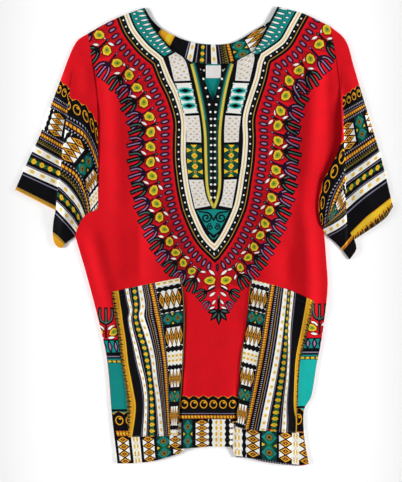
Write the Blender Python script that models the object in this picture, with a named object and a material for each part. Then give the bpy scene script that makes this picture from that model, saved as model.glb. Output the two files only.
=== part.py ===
"""A dashiki shirt laid face up: its back, front, sleeves, pockets, neck facing and bare label.

+X is the right of the shirt as seen, +Y runs from hem to neck and +Z points up from the surface.
The origin is the middle of the flat underside. Tables are in millimetres: across from the middle,
and down from the highest point of the neck.
"""

from collections import namedtuple
from math import ceil, hypot, pi, sin

import bmesh
import bpy
import numpy as np
from mathutils import Vector, geometry

MM = 0.001
LENGTH = 800.0  # from the highest point of the neck to the lowest point of the hem
CLOTH = 1.2  # wall of every main piece
TRIM = 1.0  # wall of the pockets, the facing and the label
SEAM = 0.3  # gap at seams and between layers
SLEEVE_ROOM = 0.5  # least gap between a sleeve's two layers
FOLD_WALL = 2.5  # depth of cloth round a sleeve's closed edges
NECK_LIFT = TRIM + SEAM  # the front's rise where the facing passes under it
NECK_CENTRE = (12.0, 20.0)
NECK_REACH = 235.0  # from the middle of the neck to where that lift ends
NECK_FADE = 60.0
SOFT_EDGE = 34.0  # from a seam to where folds reach their full height
BACK_STEP = 60.0  # spacing of the mesh on the flat back
FRONT_STEP = 19.0  # spacing of the mesh on the front and its pockets
SLEEVE_STEP = 15.0
EDGE_STEP = 17.0  # spacing of points along an outline
CURVE_STEPS = 12  # steps in which a curve is followed from one row to the next
HOLLOW_REACH = 3.0  # how far the hollow of a sleeve passes its open ends
FACING_WIDTH = 34.0
FACING_STEP = 14.0
LABEL_WIDTH = 26.0
LABEL_HEIGHT = 22.0
LABEL_CENTRE = (16.0, 113.5)
SAME_POINT = 1e-3  # points closer than this are one point
LEAST_RUN = 1e-9  # keeps a stretch without length from dividing by nothing
LEAST_TURN = 0.05  # two edges that turn less than this are taken as one line
CRISP_ANGLE = 0.7  # edges that bend more than this, in radians, are shaded crisp

Point = namedtuple("Point", "across down")
Ridge = namedtuple("Ridge", "across down to_across to_down width height")
Pleat = namedtuple("Pleat", "across down to_across to_down edge reach height")
Span = namedtuple("Span", "start stop fade")

# Where a fold starts and stops, and the length over which it fades, as shares of its line.
RIDGE_SPAN = Span(-0.25, 1.25, 0.45)
PLEAT_SPAN = Span(-0.15, 1.3, 0.3)

# Each edge of a piece is a smooth curve through its rows, and the edges meet at corners.
SHOULDER_LEFT = [
    Point(-202, 47),
    Point(-178, 33),
    Point(-145, 17),
    Point(-104, 2),
]
SHOULDER_RIGHT = [
    Point(128, 0),
    Point(154, 7),
    Point(175, 13),
    Point(219, 34),
]
ARMHOLE_LEFT = [
    Point(-202, 47),
    Point(-195, 102),
    Point(-187, 163),
    Point(-185, 250),
    Point(-185, 353),
]
ARMHOLE_RIGHT = [
    Point(219, 34),
    Point(231, 93),
    Point(238, 159),
    Point(238, 236),
    Point(221, 278),
    Point(204, 312),
    Point(199, 353),
    Point(209, 393),
]
UNDERARM_LEFT = [
    Point(-185, 353),
    Point(-205, 362),
    Point(-217, 378),
    Point(-225, 399),
]
SIDE_LEFT = [
    Point(-225, 399),
    Point(-203, 474),
    Point(-180, 563),
    Point(-168, 624),
    Point(-161, 709),
    Point(-151, 796),
]
SIDE_RIGHT = [
    Point(209, 393),
    Point(213, 445),
    Point(215, 494),
    Point(205, 577),
    Point(196, 624),
    Point(187, 678),
    Point(174, 703),
    Point(174, 745),
    Point(182, 797),
]
HEM_LEFT = [Point(-151, 796), Point(-114, 795), Point(-81, 790), Point(-44, 779)]
HEM_MIDDLE = [Point(-39, 770), Point(-7, 768), Point(16, 766), Point(47, 767)]
HEM_RIGHT = [
    Point(50, 785),
    Point(79, 787),
    Point(110, 794),
    Point(163, 800),
    Point(182, 797),
]
NECK_BACK = [
    Point(-104, 2),
    Point(-90, 24),
    Point(-69, 42),
    Point(-28, 60),
    Point(13, 66),
    Point(52, 62),
    Point(91, 40),
    Point(115, 24),
    Point(128, 0),
]
NECK_FRONT_LEFT = [
    Point(-104, 2),
    Point(-87, 35),
    Point(-64, 65),
    Point(-30, 92),
    Point(-8, 104),
]
NECK_FRONT_RIGHT = [
    Point(38, 101),
    Point(79, 83),
    Point(93, 65),
    Point(113, 28),
    Point(128, 0),
]
SLIT_TIP = Point(15, 166)
SLEEVE_LEFT_OUTER = [
    Point(-202, 47),
    Point(-226, 67),
    Point(-254, 138),
    Point(-285, 222),
    Point(-306, 267),
    Point(-329, 319),
]
SLEEVE_LEFT_HEM = [Point(-329, 319), Point(-259, 355)]
SLEEVE_LEFT_FOLD = [Point(-259, 355), Point(-263, 377), Point(-264, 395)]
SLEEVE_LEFT_TIP = [
    Point(-264, 395),
    Point(-261, 412),
    Point(-250, 421),
    Point(-241, 412),
]
SLEEVE_LEFT_UNDER = [Point(-241, 412), Point(-225, 399)]
SLEEVE_RIGHT_OUTER = [
    Point(219, 34),
    Point(247, 60),
    Point(262, 109),
    Point(280, 170),
    Point(309, 267),
    Point(329, 349),
]
SLEEVE_RIGHT_HEM = [Point(329, 349), Point(312, 372), Point(262, 406)]
SLEEVE_RIGHT_TIP = [Point(262, 406), Point(265, 423), Point(254, 440)]
SLEEVE_RIGHT_UNDER = [Point(254, 440), Point(236, 418), Point(209, 393)]
POCKET_LEFT = [
    [Point(-160, 497), Point(-100, 484), Point(-39, 472)],
    [
        Point(-39, 472),
        Point(-33, 536),
        Point(-37, 642),
        Point(-42, 700),
        Point(-46, 747),
    ],
    [Point(-46, 747), Point(-132, 750)],
    [
        Point(-132, 750),
        Point(-136, 674),
        Point(-146, 613),
        Point(-154, 552),
        Point(-160, 497),
    ],
]
POCKET_RIGHT = [
    [Point(81, 475), Point(140, 491), Point(192, 513)],
    [
        Point(192, 513),
        Point(184, 551),
        Point(174, 591),
        Point(167, 621),
        Point(163, 694),
        Point(161, 743),
    ],
    [Point(161, 743), Point(54, 735)],
    [
        Point(54, 735),
        Point(60, 670),
        Point(64, 612),
        Point(72, 563),
        Point(81, 475),
    ],
]

# Soft ridges between the troughs of the front, each along a straight line.
FRONT_RIDGES = [
    Ridge(-158, 95, -148, 350, 24, 10.0),
    Ridge(-196, 400, -166, 540, 18, 10.0),
    Ridge(-82, 330, -76, 560, 32, 14.0),
    Ridge(-92, 570, -78, 760, 20, 7.0),
    Ridge(-20, 520, -28, 690, 17, 6.0),
    Ridge(38, 560, 26, 700, 20, 7.0),
    Ridge(194, 100, 176, 290, 20, 12.0),
    Ridge(116, 340, 106, 560, 27, 13.0),
    Ridge(178, 330, 184, 560, 20, 12.0),
    Ridge(112, 590, 92, 770, 16, 7.0),
    Ridge(150, 600, 134, 780, 13, 8.0),
    Ridge(15, 200, 12, 460, 62, 5.0),
]
# A pleat rises at its line and slopes off over its reach, on the side that lies on top.
FRONT_PLEATS = [
    Pleat(-34, 640, -39, 800, 2.0, 60, -4.0),
    Pleat(53, 660, 45, 810, 2.0, 60, 4.0),
]
SLEEVE_LEFT_PLEATS = [Pleat(-236, 165, -259, 355, 2.5, 80, -8.0)]
SLEEVE_RIGHT_PLEATS = [Pleat(241, 165, 247, 385, 2.5, 80, 8.0)]
SLEEVE_LEFT_RIDGES = [
    Ridge(-238, 110, -288, 270, 16, 4.0),
    Ridge(-206, 190, -213, 320, 11, 5.0),
    Ridge(-240, 340, -248, 400, 9, 4.0),
]
SLEEVE_RIGHT_RIDGES = [
    Ridge(254, 110, 292, 290, 16, 4.0),
    Ridge(222, 300, 222, 370, 10, 4.0),
    Ridge(266, 300, 296, 370, 14, 4.0),
]

COLOURS = {
    "back": (0.72, 0.01, 0.012),
    "front": (0.75, 0.008, 0.014),
    "sleeve_left": (0.03, 0.028, 0.03),
    "sleeve_right": (0.035, 0.03, 0.028),
    "pocket_left": (0.55, 0.36, 0.05),
    "pocket_right": (0.75, 0.48, 0.03),
    "neck_facing": (0.42, 0.3, 0.12),
    "label": (0.86, 0.85, 0.82),
}


def start_scene():
    """An empty scene with one collection for the shirt and one for its cutters."""
    for old in list(bpy.data.objects):
        bpy.data.objects.remove(old)
    found = []
    for name in ("dashiki_shirt", "cutters"):
        collection = bpy.data.collections.new(name)
        bpy.context.scene.collection.children.link(collection)
        found.append(collection)
    return found


def cloth_material(name):
    material = bpy.data.materials.new(name)
    material.use_nodes = True
    shader = material.node_tree.nodes["Principled BSDF"]
    shader.inputs["Base Color"].default_value = (*COLOURS[name], 1.0)
    shader.inputs["Roughness"].default_value = 0.85
    shader.inputs["Metallic"].default_value = 0.0
    return material


def smooth_edge(rows, step=EDGE_STEP):
    """Evenly spaced points on a smooth curve through the rows, without the last one."""
    knots = np.array(rows, float)
    ends = 2 * knots[[0, -1]] - knots[[1, -2]]
    knots = np.vstack([ends[:1], knots, ends[1:]])
    fine = []
    for before, here, there, after in zip(knots, knots[1:], knots[2:], knots[3:]):
        for t in np.linspace(0, 1, CURVE_STEPS, endpoint=False):
            bend = 2 * before - 5 * here + 4 * there - after
            turn = 3 * here - before - 3 * there + after
            curve = 2 * here + (there - before) * t + bend * t**2 + turn * t**3
            fine.append(curve / 2)
    fine = np.array(fine + [knots[-2]])
    along = np.append(0, np.cumsum(np.hypot(*np.diff(fine, axis=0).T)))
    count = max(1, ceil(along[-1] / step))
    at = np.linspace(0, along[-1], count + 1)[:-1]
    return np.column_stack([np.interp(at, along, column) for column in fine.T])


def outline(edges, step=EDGE_STEP):
    """A closed ring round a piece from its edges in order, with the number of each point's edge."""
    parts = [smooth_edge(edge, step) for edge in edges]
    owner = np.repeat(np.arange(len(parts)), [len(part) for part in parts])
    return np.vstack(parts), owner


def is_inside(ring, points):
    """Which points lie inside a closed ring."""
    points = np.asarray(points, float)
    inside = np.zeros(len(points), bool)
    for (x0, y0), (x1, y1) in zip(ring, np.roll(ring, -1, axis=0)):
        crosses = (y0 > points[:, 1]) != (y1 > points[:, 1])
        rise = y1 - y0 if y1 != y0 else 1.0
        edge = x0 + (points[:, 1] - y0) * (x1 - x0) / rise
        inside ^= crosses & (points[:, 0] < edge)
    return inside


def distance_to(line, points, closed=False):
    """How far each point lies from a line of straight stretches."""
    points = np.asarray(points, float)
    line = np.asarray(line, float)
    ends = np.roll(line, -1, axis=0) if closed else line[1:]
    nearest = np.full(len(points), np.inf)
    for start, end in zip(line, ends):
        run = end - start
        t = np.clip((points - start) @ run / max(run @ run, LEAST_RUN), 0, 1)
        nearest = np.minimum(nearest, np.hypot(*(points - start - t[:, None] * run).T))
    return nearest


def ease(value):
    """A smooth rise from 0 to 1."""
    value = np.clip(value, 0, 1)
    return value * value * (3 - 2 * value)


def within(span, t):
    """How much of a fold is left at each place along its line."""
    return ease((t - span.start) / span.fade) * ease((span.stop - t) / span.fade)


def along_line(fold, points):
    """Where each point lies along a fold's line, from 0 to 1, and how far to its right."""
    start = np.array([fold.across, fold.down])
    run = np.array([fold.to_across, fold.to_down]) - start
    length = hypot(*run)
    offset = points - start
    side = (offset[:, 1] * run[0] - offset[:, 0] * run[1]) / length
    return offset @ run / length**2, -side


def fold_height(ridges, pleats, points):
    """What the ridges and pleats add at each point."""
    points = np.asarray(points, float)
    height = np.zeros(len(points))
    for ridge in ridges:
        t, side = along_line(ridge, points)
        height += ridge.height * within(RIDGE_SPAN, t) * np.exp(-((side / ridge.width) ** 2))
    for pleat in pleats:
        t, side = along_line(pleat, points)
        side = side * np.sign(-pleat.height)
        over = ease(side / (2 * pleat.edge) + 0.5) * ease(1 - side / pleat.reach)
        height += abs(pleat.height) * within(PLEAT_SPAN, t) * over
    return height


def neck_lift(points):
    """The front's rise over the facing, round the neck."""
    away = np.hypot(*(np.asarray(points, float) - np.array(NECK_CENTRE)).T)
    return NECK_LIFT * ease((NECK_REACH - away) / NECK_FADE)


def front_underside(points):
    """Height of the front's lower face: flat at its seams, with folds between them."""
    seams = [SHOULDER_LEFT, ARMHOLE_LEFT, UNDERARM_LEFT, SIDE_LEFT]
    seams += [SHOULDER_RIGHT, ARMHOLE_RIGHT, SIDE_RIGHT]
    away = np.min([distance_to(smooth_edge(seam), points) for seam in seams], axis=0)
    folds = fold_height(FRONT_RIDGES, FRONT_PLEATS, points)
    return CLOTH + SEAM + neck_lift(points) + folds * ease(away / SOFT_EDGE)


def sleeve_underside(closed_edges, ridges, pleats):
    """A function for the height of the lower face of a sleeve's top layer."""

    def height(points):
        away = np.min([distance_to(smooth_edge(edge), points) for edge in closed_edges], axis=0)
        folds = fold_height(ridges, pleats, points)
        return CLOTH + SLEEVE_ROOM + folds * ease(away / (SOFT_EDGE / 2))

    return height


def level(height):
    """A function for a face at one height."""
    return lambda points: np.full(len(points), float(height))


def moved(ring, distances):
    """A ring with each edge moved outwards by its own distance."""
    ahead = np.roll(ring, -1, axis=0)
    run = ahead - ring
    run /= np.hypot(*run.T)[:, None]
    area = np.sum(ring[:, 0] * ahead[:, 1] - ring[:, 1] * ahead[:, 0])
    out = np.column_stack([run[:, 1], -run[:, 0]]) * np.sign(area)
    found = []
    for i in range(len(ring)):
        j = i - 1
        first = ring[i] + out[j] * distances[j]
        second = ring[i] + out[i] * distances[i]
        cross = run[j][0] * run[i][1] - run[j][1] * run[i][0]
        if abs(cross) < LEAST_TURN:
            found.append((first + second) / 2)
            continue
        gap = second - first
        t = (gap[0] * run[i][1] - gap[1] * run[i][0]) / cross
        found.append(first + run[j] * t)
    return np.array(found)


def grid_inside(ring, step, lines=()):
    """Evenly staggered points inside a ring, clear of its edge and of any line on it."""
    low, high = ring.min(axis=0), ring.max(axis=0)
    rise = step * sin(pi / 3)
    rows = []
    for i in range(ceil((high[1] - low[1]) / rise)):
        across = np.arange(low[0] + (i % 2) * step / 2, high[0], step)
        rows.append(np.column_stack([across, np.full(len(across), low[1] + i * rise)]))
    points = np.vstack(rows)
    points = points[is_inside(ring, points)]
    clear = distance_to(ring, points, closed=True) > step / 2
    for line in lines:
        clear &= distance_to(line, points) > step / 2
    return points[clear]


def pleat_edges(pleats, ring):
    """The two lines that each pleat's step rises between, where they run inside a ring."""
    found = []
    for pleat in pleats:
        start = np.array([pleat.across, pleat.down], float)
        run = np.array([pleat.to_across, pleat.to_down]) - start
        sideways = np.array([run[1], -run[0]]) / hypot(*run) * pleat.edge
        along = np.arange(PLEAT_SPAN.start, PLEAT_SPAN.stop, EDGE_STEP / hypot(*run))
        for side in (-1, 1):
            line = start + along[:, None] * run + side * sideways
            clear = distance_to(ring, line, closed=True) > 2 * pleat.edge
            found.append(line[is_inside(ring, line) & clear])
    return found


def triangulated(ring, step, loops=(), lines=()):
    """Points and triangles of a ring filled with a grid, with loops and lines among its edges."""
    ties = []
    first = 0
    for chain in (ring, *loops, *lines):
        count = len(chain)
        ties += [(first + i, first + i + 1) for i in range(count - 1)]
        first += count
    first = 0
    for loop in (ring, *loops):
        ties.append((first + len(loop) - 1, first))
        first += len(loop)
    grid = grid_inside(ring, step, (*loops, *lines))
    points = np.vstack([ring, *loops, *lines, grid])
    flat = [Vector(point) for point in points]
    made = geometry.delaunay_2d_cdt(flat, ties, [], 1, SAME_POINT)
    points = np.array([tuple(point) for point in made[0]])
    triangles = np.array(made[2])
    middles = points[triangles].mean(axis=1)
    return points, triangles[is_inside(ring, middles)]


def sheet(name, points, triangles, low, high, collection):
    """A closed solid over the triangles, between its lower and its upper face."""
    used, index = np.unique(triangles, return_inverse=True)
    points = points[used]
    triangles = index.reshape(-1, 3)
    depth = high(points) - low(points)
    lower = np.column_stack([points[:, 0], LENGTH / 2 - points[:, 1], low(points)])
    bm = bmesh.new()
    wall = bm.verts.layers.float.new("wall")
    corners = [bm.verts.new(corner * MM) for corner in lower]
    faces = [bm.faces.new([corners[i] for i in triangle]) for triangle in triangles]
    for corner, thick in zip(corners, depth):
        corner[wall] = thick
    made = bmesh.ops.extrude_face_region(bm, geom=faces)
    for part in made["geom"]:
        if isinstance(part, bmesh.types.BMVert):
            part.co.z += part[wall] * MM
    bmesh.ops.recalc_face_normals(bm, faces=bm.faces)
    mesh = bpy.data.meshes.new(name)
    bm.to_mesh(mesh)
    bm.free()
    piece = bpy.data.objects.new(name, mesh)
    collection.objects.link(piece)
    return piece


def finish(piece):
    """Smooth shading over the folds with crisp cut edges, and the piece's own colour."""
    piece.data.materials.append(cloth_material(piece.name))
    piece.data.shade_smooth()
    piece.data.set_sharp_from_angle(angle=CRISP_ANGLE)


def make_back(collection):
    edges = [NECK_BACK, SHOULDER_RIGHT, ARMHOLE_RIGHT, SIDE_RIGHT]
    edges += [HEM_RIGHT[::-1], HEM_MIDDLE[::-1], HEM_LEFT[::-1]]
    edges += [SIDE_LEFT[::-1], UNDERARM_LEFT[::-1], ARMHOLE_LEFT[::-1], SHOULDER_LEFT]
    ring, _ = outline(edges)
    points, triangles = triangulated(ring, BACK_STEP)
    back = sheet("back", points, triangles, level(0), level(CLOTH), collection)
    finish(back)


def make_front(collection):
    """The front, and from its own points the two pockets that lie on it."""
    edges = [NECK_FRONT_LEFT, [NECK_FRONT_LEFT[-1], SLIT_TIP], [SLIT_TIP, NECK_FRONT_RIGHT[0]]]
    edges += [NECK_FRONT_RIGHT, SHOULDER_RIGHT, ARMHOLE_RIGHT, SIDE_RIGHT]
    edges += [HEM_RIGHT[::-1], HEM_MIDDLE[::-1], HEM_LEFT[::-1]]
    edges += [SIDE_LEFT[::-1], UNDERARM_LEFT[::-1], ARMHOLE_LEFT[::-1], SHOULDER_LEFT]
    ring, _ = outline(edges)
    pockets = {"pocket_left": outline(POCKET_LEFT)[0], "pocket_right": outline(POCKET_RIGHT)[0]}
    pleats = pleat_edges(FRONT_PLEATS, ring)
    points, triangles = triangulated(ring, FRONT_STEP, list(pockets.values()), pleats)

    def top(spots):
        return front_underside(spots) + CLOTH

    def pocket_low(spots):
        return top(spots) + SEAM

    def pocket_high(spots):
        return pocket_low(spots) + TRIM

    front = sheet("front", points, triangles, front_underside, top, collection)
    finish(front)
    middles = points[triangles].mean(axis=1)
    for name, pocket in pockets.items():
        own = triangles[is_inside(pocket, middles)]
        finish(sheet(name, points, own, pocket_low, pocket_high, collection))


def make_sleeve(name, edges, sewn, closed, folds, collection, cutters):
    """A tube of cloth laid flat: a solid over its outline, hollowed from cuff to armhole."""
    ring, owner = outline(edges)
    height = sleeve_underside([edges[i] for i in closed], *folds)
    ring = moved(ring, np.where(np.isin(owner, sewn), -SEAM, 0.0))
    pleats = pleat_edges(folds[1], ring)
    points, triangles = triangulated(ring, SLEEVE_STEP, lines=pleats)

    def top(spots):
        return height(spots) + CLOTH

    sleeve = sheet(name, points, triangles, level(0), top, collection)
    hollow = moved(ring, np.where(np.isin(owner, closed), -FOLD_WALL, HOLLOW_REACH))
    points, triangles = triangulated(hollow, SLEEVE_STEP, lines=pleats)
    cutter = sheet(name + "_hollow", points, triangles, level(CLOTH), height, cutters)
    cutter.hide_render = True
    cutter.display_type = "WIRE"
    cut = sleeve.modifiers.new("hollow", "BOOLEAN")
    cut.operation = "DIFFERENCE"
    cut.object = cutter
    finish(sleeve)


def make_sleeves(collection, cutters):
    left = [ARMHOLE_LEFT, UNDERARM_LEFT, SLEEVE_LEFT_UNDER[::-1], SLEEVE_LEFT_TIP[::-1]]
    left += [SLEEVE_LEFT_FOLD[::-1], SLEEVE_LEFT_HEM[::-1], SLEEVE_LEFT_OUTER[::-1]]
    folds = (SLEEVE_LEFT_RIDGES, SLEEVE_LEFT_PLEATS)
    make_sleeve("sleeve_left", left, [0, 1], [1, 2, 4, 6], folds, collection, cutters)
    right = [ARMHOLE_RIGHT, SLEEVE_RIGHT_UNDER[::-1], SLEEVE_RIGHT_TIP[::-1]]
    right += [SLEEVE_RIGHT_HEM[::-1], SLEEVE_RIGHT_OUTER[::-1]]
    folds = (SLEEVE_RIGHT_RIDGES, SLEEVE_RIGHT_PLEATS)
    make_sleeve("sleeve_right", right, [0], [1, 4], folds, collection, cutters)


def make_facing(collection):
    """A strip along the inside of the back's neckline, lying on the back."""
    neck = smooth_edge(NECK_BACK, FACING_STEP)
    neck = np.vstack([neck, [NECK_BACK[-1]]])
    run = np.gradient(neck, axis=0)
    run /= np.hypot(*run.T)[:, None]
    below = neck + FACING_WIDTH * np.column_stack([-run[:, 1], run[:, 0]])
    ring = np.vstack([neck, below[::-1]])
    points, triangles = triangulated(ring, FACING_STEP * 2)
    low = CLOTH + SEAM
    facing = sheet("neck_facing", points, triangles, level(low), level(low + TRIM), collection)
    finish(facing)


def make_label(collection):
    """A bare label sewn below the facing, lying on the back."""
    bpy.ops.mesh.primitive_cube_add(size=1)
    label = bpy.context.object
    label.name = "label"
    label.data.name = "label"
    across, down = LABEL_CENTRE
    height = CLOTH + SEAM + TRIM / 2
    label.location = Vector((across, LENGTH / 2 - down, height)) * MM
    label.scale = Vector((LABEL_WIDTH, LABEL_HEIGHT, TRIM)) * MM
    for owner in list(label.users_collection):
        owner.objects.unlink(label)
    collection.objects.link(label)
    finish(label)


def main():
    shirt, cutters = start_scene()
    make_back(shirt)
    make_front(shirt)
    make_sleeves(shirt, cutters)
    make_facing(shirt)
    make_label(shirt)


main()
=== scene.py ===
"""The looks of a dashiki shirt laid face up: printed cloth, folds and sewing, with floor, lights and camera.

Tables are in millimetres, as in the part's source. A point is how far across it lies from the middle of the
shirt, and how far down from its neck.
"""

from collections import namedtuple
from math import ceil, cos, hypot, pi, radians, sin

import bpy
import numpy as np
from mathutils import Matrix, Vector, geometry


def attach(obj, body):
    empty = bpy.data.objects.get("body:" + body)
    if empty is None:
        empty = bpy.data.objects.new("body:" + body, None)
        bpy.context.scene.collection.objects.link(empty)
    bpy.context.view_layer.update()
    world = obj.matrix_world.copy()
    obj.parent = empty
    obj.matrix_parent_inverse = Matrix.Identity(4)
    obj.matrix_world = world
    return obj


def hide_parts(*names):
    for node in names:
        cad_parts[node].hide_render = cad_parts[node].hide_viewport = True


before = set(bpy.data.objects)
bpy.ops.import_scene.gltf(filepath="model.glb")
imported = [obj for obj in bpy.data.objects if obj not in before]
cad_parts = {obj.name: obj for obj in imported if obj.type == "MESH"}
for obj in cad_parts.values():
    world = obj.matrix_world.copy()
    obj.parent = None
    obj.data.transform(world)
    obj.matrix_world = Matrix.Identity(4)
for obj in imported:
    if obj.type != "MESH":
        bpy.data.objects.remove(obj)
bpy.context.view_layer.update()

# Sizes of the shirt and its sewing. The first ones are those of the part's source.
MM = 0.001
WHITE = (1, 1, 1)
LENGTH = 800.0
CLOTH = 1.2
TRIM = 1.0
SEAM = 0.3
SLEEVE_ROOM = 0.5
NECK_LIFT = TRIM + SEAM
NECK_REACH = 235.0
NECK_FADE = 60.0
NECK_CENTRE = (12.0, 20.0)
SOFT_EDGE = 34.0
EDGE_STEP = 6.0  # spacing of points along an outline
GRID_STEP = 7.0  # spacing of points inside it
BACK_STEP = 25.0
POCKET_STEP = 6.0
LABEL_STEP = 4.0
STRIPE_STEP = 7.0  # spacing of points along a printed stripe
STRIPE_LINKS = 6  # how many of them one length of it has
CURVE_STEPS = 12  # steps in which a curve is followed from one row to the next
CURVE_POINTS = 49  # points on each line of a patch
LEAST_RUN = 1e-9  # keeps a stretch without length from dividing by nothing
MITRE = 0.4  # least share of its step sideways that a corner keeps
CLEAR = 0.93  # least share of its distance that a line beside another keeps
CREASE_ROUND = 1.0
HEM_WIDTH = 13.0
HEM_RISE = 0.7
HEM_EASE = 4.0
POCKET_TURN = 9.0
POCKET_RISE = 0.6
POCKET_EASE = 5.0
RIPPLE = 0.22
FRONT_WALL = 1.0
TRIM_WALL = 0.9
SLEEVE_WALL = 0.8
TUBE_ROUND = 0.5  # how far a sleeve's upper face falls at its closed edges
TUBE_BULGE = 0.6  # how far those edges stand out
FACING_WIDTH = 34.0
LABEL_CENTRE = (16.0, 113.5)
LABEL_SIZE = (26.0, 22.0)
SELVEDGE = 1.2
SELVEDGE_WIDTH = 1.4
CUT_GAP = 1e-3  # points closer than this are one point
ON_EDGE = 1.0  # a point this near a sleeve's closed edge is on it
CRISP_ANGLE = 1.1  # edges that bend more than this, in radians, are shaded crisp
ROUNDING = 1.001  # lets the last mark of a row end a hair past it
WAVE_STEPS = 6  # points along one wave of a printed stripe
PANEL_WIDTH = 26.0
COLLAR_WIDTH = 20.0
COLLAR_POINTS = 30  # points on each line of the collar of dashes
LAYER_TOP = CLOTH + SEAM + TRIM  # height of what lies on the back
STITCH_PITCH = 3.4
STITCH_LENGTH = 2.4
STITCH_WIDTH = 0.6
STITCH_RISE = 0.35
STITCH_SINK = 0.1
# How far a row of stitches lies inside an edge.
NECK_INSET = 4.0
POCKET_INSET = 2.5
FACING_INSET = 3.0
STITCH_FACES = [[0, 1, 4], [1, 2, 5, 4], [2, 3, 5], [3, 0, 4, 5]]
VIEW_MIDDLE = (-5.5, 408.5)
VIEW_HEIGHT = 840.0  # what the picture's long side shows at the height of the cloth
CAMERA_HEIGHT = 4000.0
# The lights and the floor are in metres.
LIGHT_LENGTH = 1.2
LIGHT_DEPTH = 0.24
LIGHT_SPREAD = radians(36)
LIGHT_HEIGHT = 0.30
LIGHT_AWAY = 0.74
LIGHT_TARGET = 0.17
LIGHT_POWER = 1.45
FLOOR_SIZE = 6.0
FLOOR_DROP = 0.0004

Ridge = namedtuple("Ridge", "across down to_across to_down width height")
Pleat = namedtuple("Pleat", "across down to_across to_down edge reach height")
Rung = namedtuple("Rung", "place points")
Band = namedtuple("Band", "kind width")
Mark = namedtuple("Mark", "shape colour middle width pitch length shift", defaults=(0.5, 1.0, 0, 1.0, 0.0))
Panel = namedtuple("Panel", "kind left right")
Shape = namedtuple("Shape", "colour ring zone")
Span = namedtuple("Span", "start stop fade")
Seam = namedtuple("Seam", "line inset")
Zone = namedtuple("Zone", "rungs bands rows")
Sleeve = namedtuple("Sleeve", "edges closed hems ridges pleats crease outer inner")

RIDGE_SPAN = Span(-0.25, 1.25, 0.45)
PLEAT_SPAN = Span(-0.15, 1.3, 0.3)


def read_bands(text):
    """Bands side by side, written as the kind and the width of each."""
    return [Band(kind, float(width)) for kind, width in map(str.split, text.split(","))]


def read_marks(text):
    """Marks on one another, written as the shape, colour and numbers of each."""
    rows = [row.split() for row in text.split(",")]
    return [Mark(shape, colour, *map(float, numbers)) for shape, colour, *numbers in rows]


# The outlines are those of the part's source.
SHOULDER_LEFT = [(-202, 47), (-178, 33), (-145, 17), (-104, 2)]
SHOULDER_RIGHT = [(128, 0), (154, 7), (175, 13), (219, 34)]
ARMHOLE_LEFT = [(-202, 47), (-195, 102), (-187, 163), (-185, 250), (-185, 353)]
ARMHOLE_RIGHT = [
    (219, 34), (231, 93), (238, 159), (238, 236), (221, 278), (204, 312), (199, 353), (209, 393),
]
UNDERARM_LEFT = [(-185, 353), (-205, 362), (-217, 378), (-225, 399)]
SIDE_LEFT = [(-225, 399), (-203, 474), (-180, 563), (-168, 624), (-161, 709), (-151, 796)]
SIDE_RIGHT = [
    (209, 393), (213, 445), (215, 494), (205, 577), (196, 624), (187, 678), (174, 703), (174, 745),
    (182, 797),
]
HEM_LEFT = [(-151, 796), (-114, 795), (-81, 790), (-44, 779)]
HEM_MIDDLE = [(-39, 770), (-7, 768), (16, 766), (47, 767)]
HEM_RIGHT = [(50, 785), (79, 787), (110, 794), (163, 800), (182, 797)]
NECK_BACK = [(-104, 2), (-90, 24), (-69, 42), (-28, 60), (13, 66), (52, 62), (91, 40), (115, 24), (128, 0)]
NECK_FRONT_LEFT = [(-104, 2), (-87, 35), (-64, 65), (-30, 92), (-8, 104)]
NECK_FRONT_RIGHT = [(38, 101), (79, 83), (93, 65), (113, 28), (128, 0)]
SLIT_TIP = (15, 166)
SLEEVE_LEFT_OUTER = [(-202, 47), (-226, 67), (-254, 138), (-285, 222), (-306, 267), (-329, 319)]
SLEEVE_LEFT_HEM = [(-329, 319), (-259, 355)]
SLEEVE_LEFT_FOLD = [(-259, 355), (-263, 377), (-264, 395)]
SLEEVE_LEFT_TIP = [(-264, 395), (-261, 412), (-250, 421), (-241, 412)]
SLEEVE_LEFT_UNDER = [(-241, 412), (-225, 399)]
SLEEVE_RIGHT_OUTER = [(219, 34), (247, 60), (262, 109), (280, 170), (309, 267), (329, 349)]
SLEEVE_RIGHT_HEM = [(329, 349), (312, 372), (262, 406)]
SLEEVE_RIGHT_TIP = [(262, 406), (265, 423), (254, 440)]
SLEEVE_RIGHT_UNDER = [(254, 440), (236, 418), (209, 393)]
# Round the body from its right shoulder to its left one.
BODY_EDGES = [SHOULDER_RIGHT, ARMHOLE_RIGHT, SIDE_RIGHT, HEM_RIGHT[::-1], HEM_MIDDLE[::-1], HEM_LEFT[::-1]]
BODY_EDGES += [SIDE_LEFT[::-1], UNDERARM_LEFT[::-1], ARMHOLE_LEFT[::-1], SHOULDER_LEFT]
POCKET_LEFT = [
    [(-160, 497), (-100, 484), (-39, 472)],
    [(-39, 472), (-33, 536), (-37, 642), (-42, 700), (-46, 747)],
    [(-46, 747), (-132, 750)],
    [(-132, 750), (-136, 674), (-146, 613), (-154, 552), (-160, 497)],
]
POCKET_RIGHT = [
    [(81, 475), (140, 491), (192, 513)],
    [(192, 513), (184, 551), (174, 591), (167, 621), (163, 694), (161, 743)],
    [(161, 743), (54, 735)],
    [(54, 735), (60, 670), (64, 612), (72, 563), (81, 475)],
]

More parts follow.
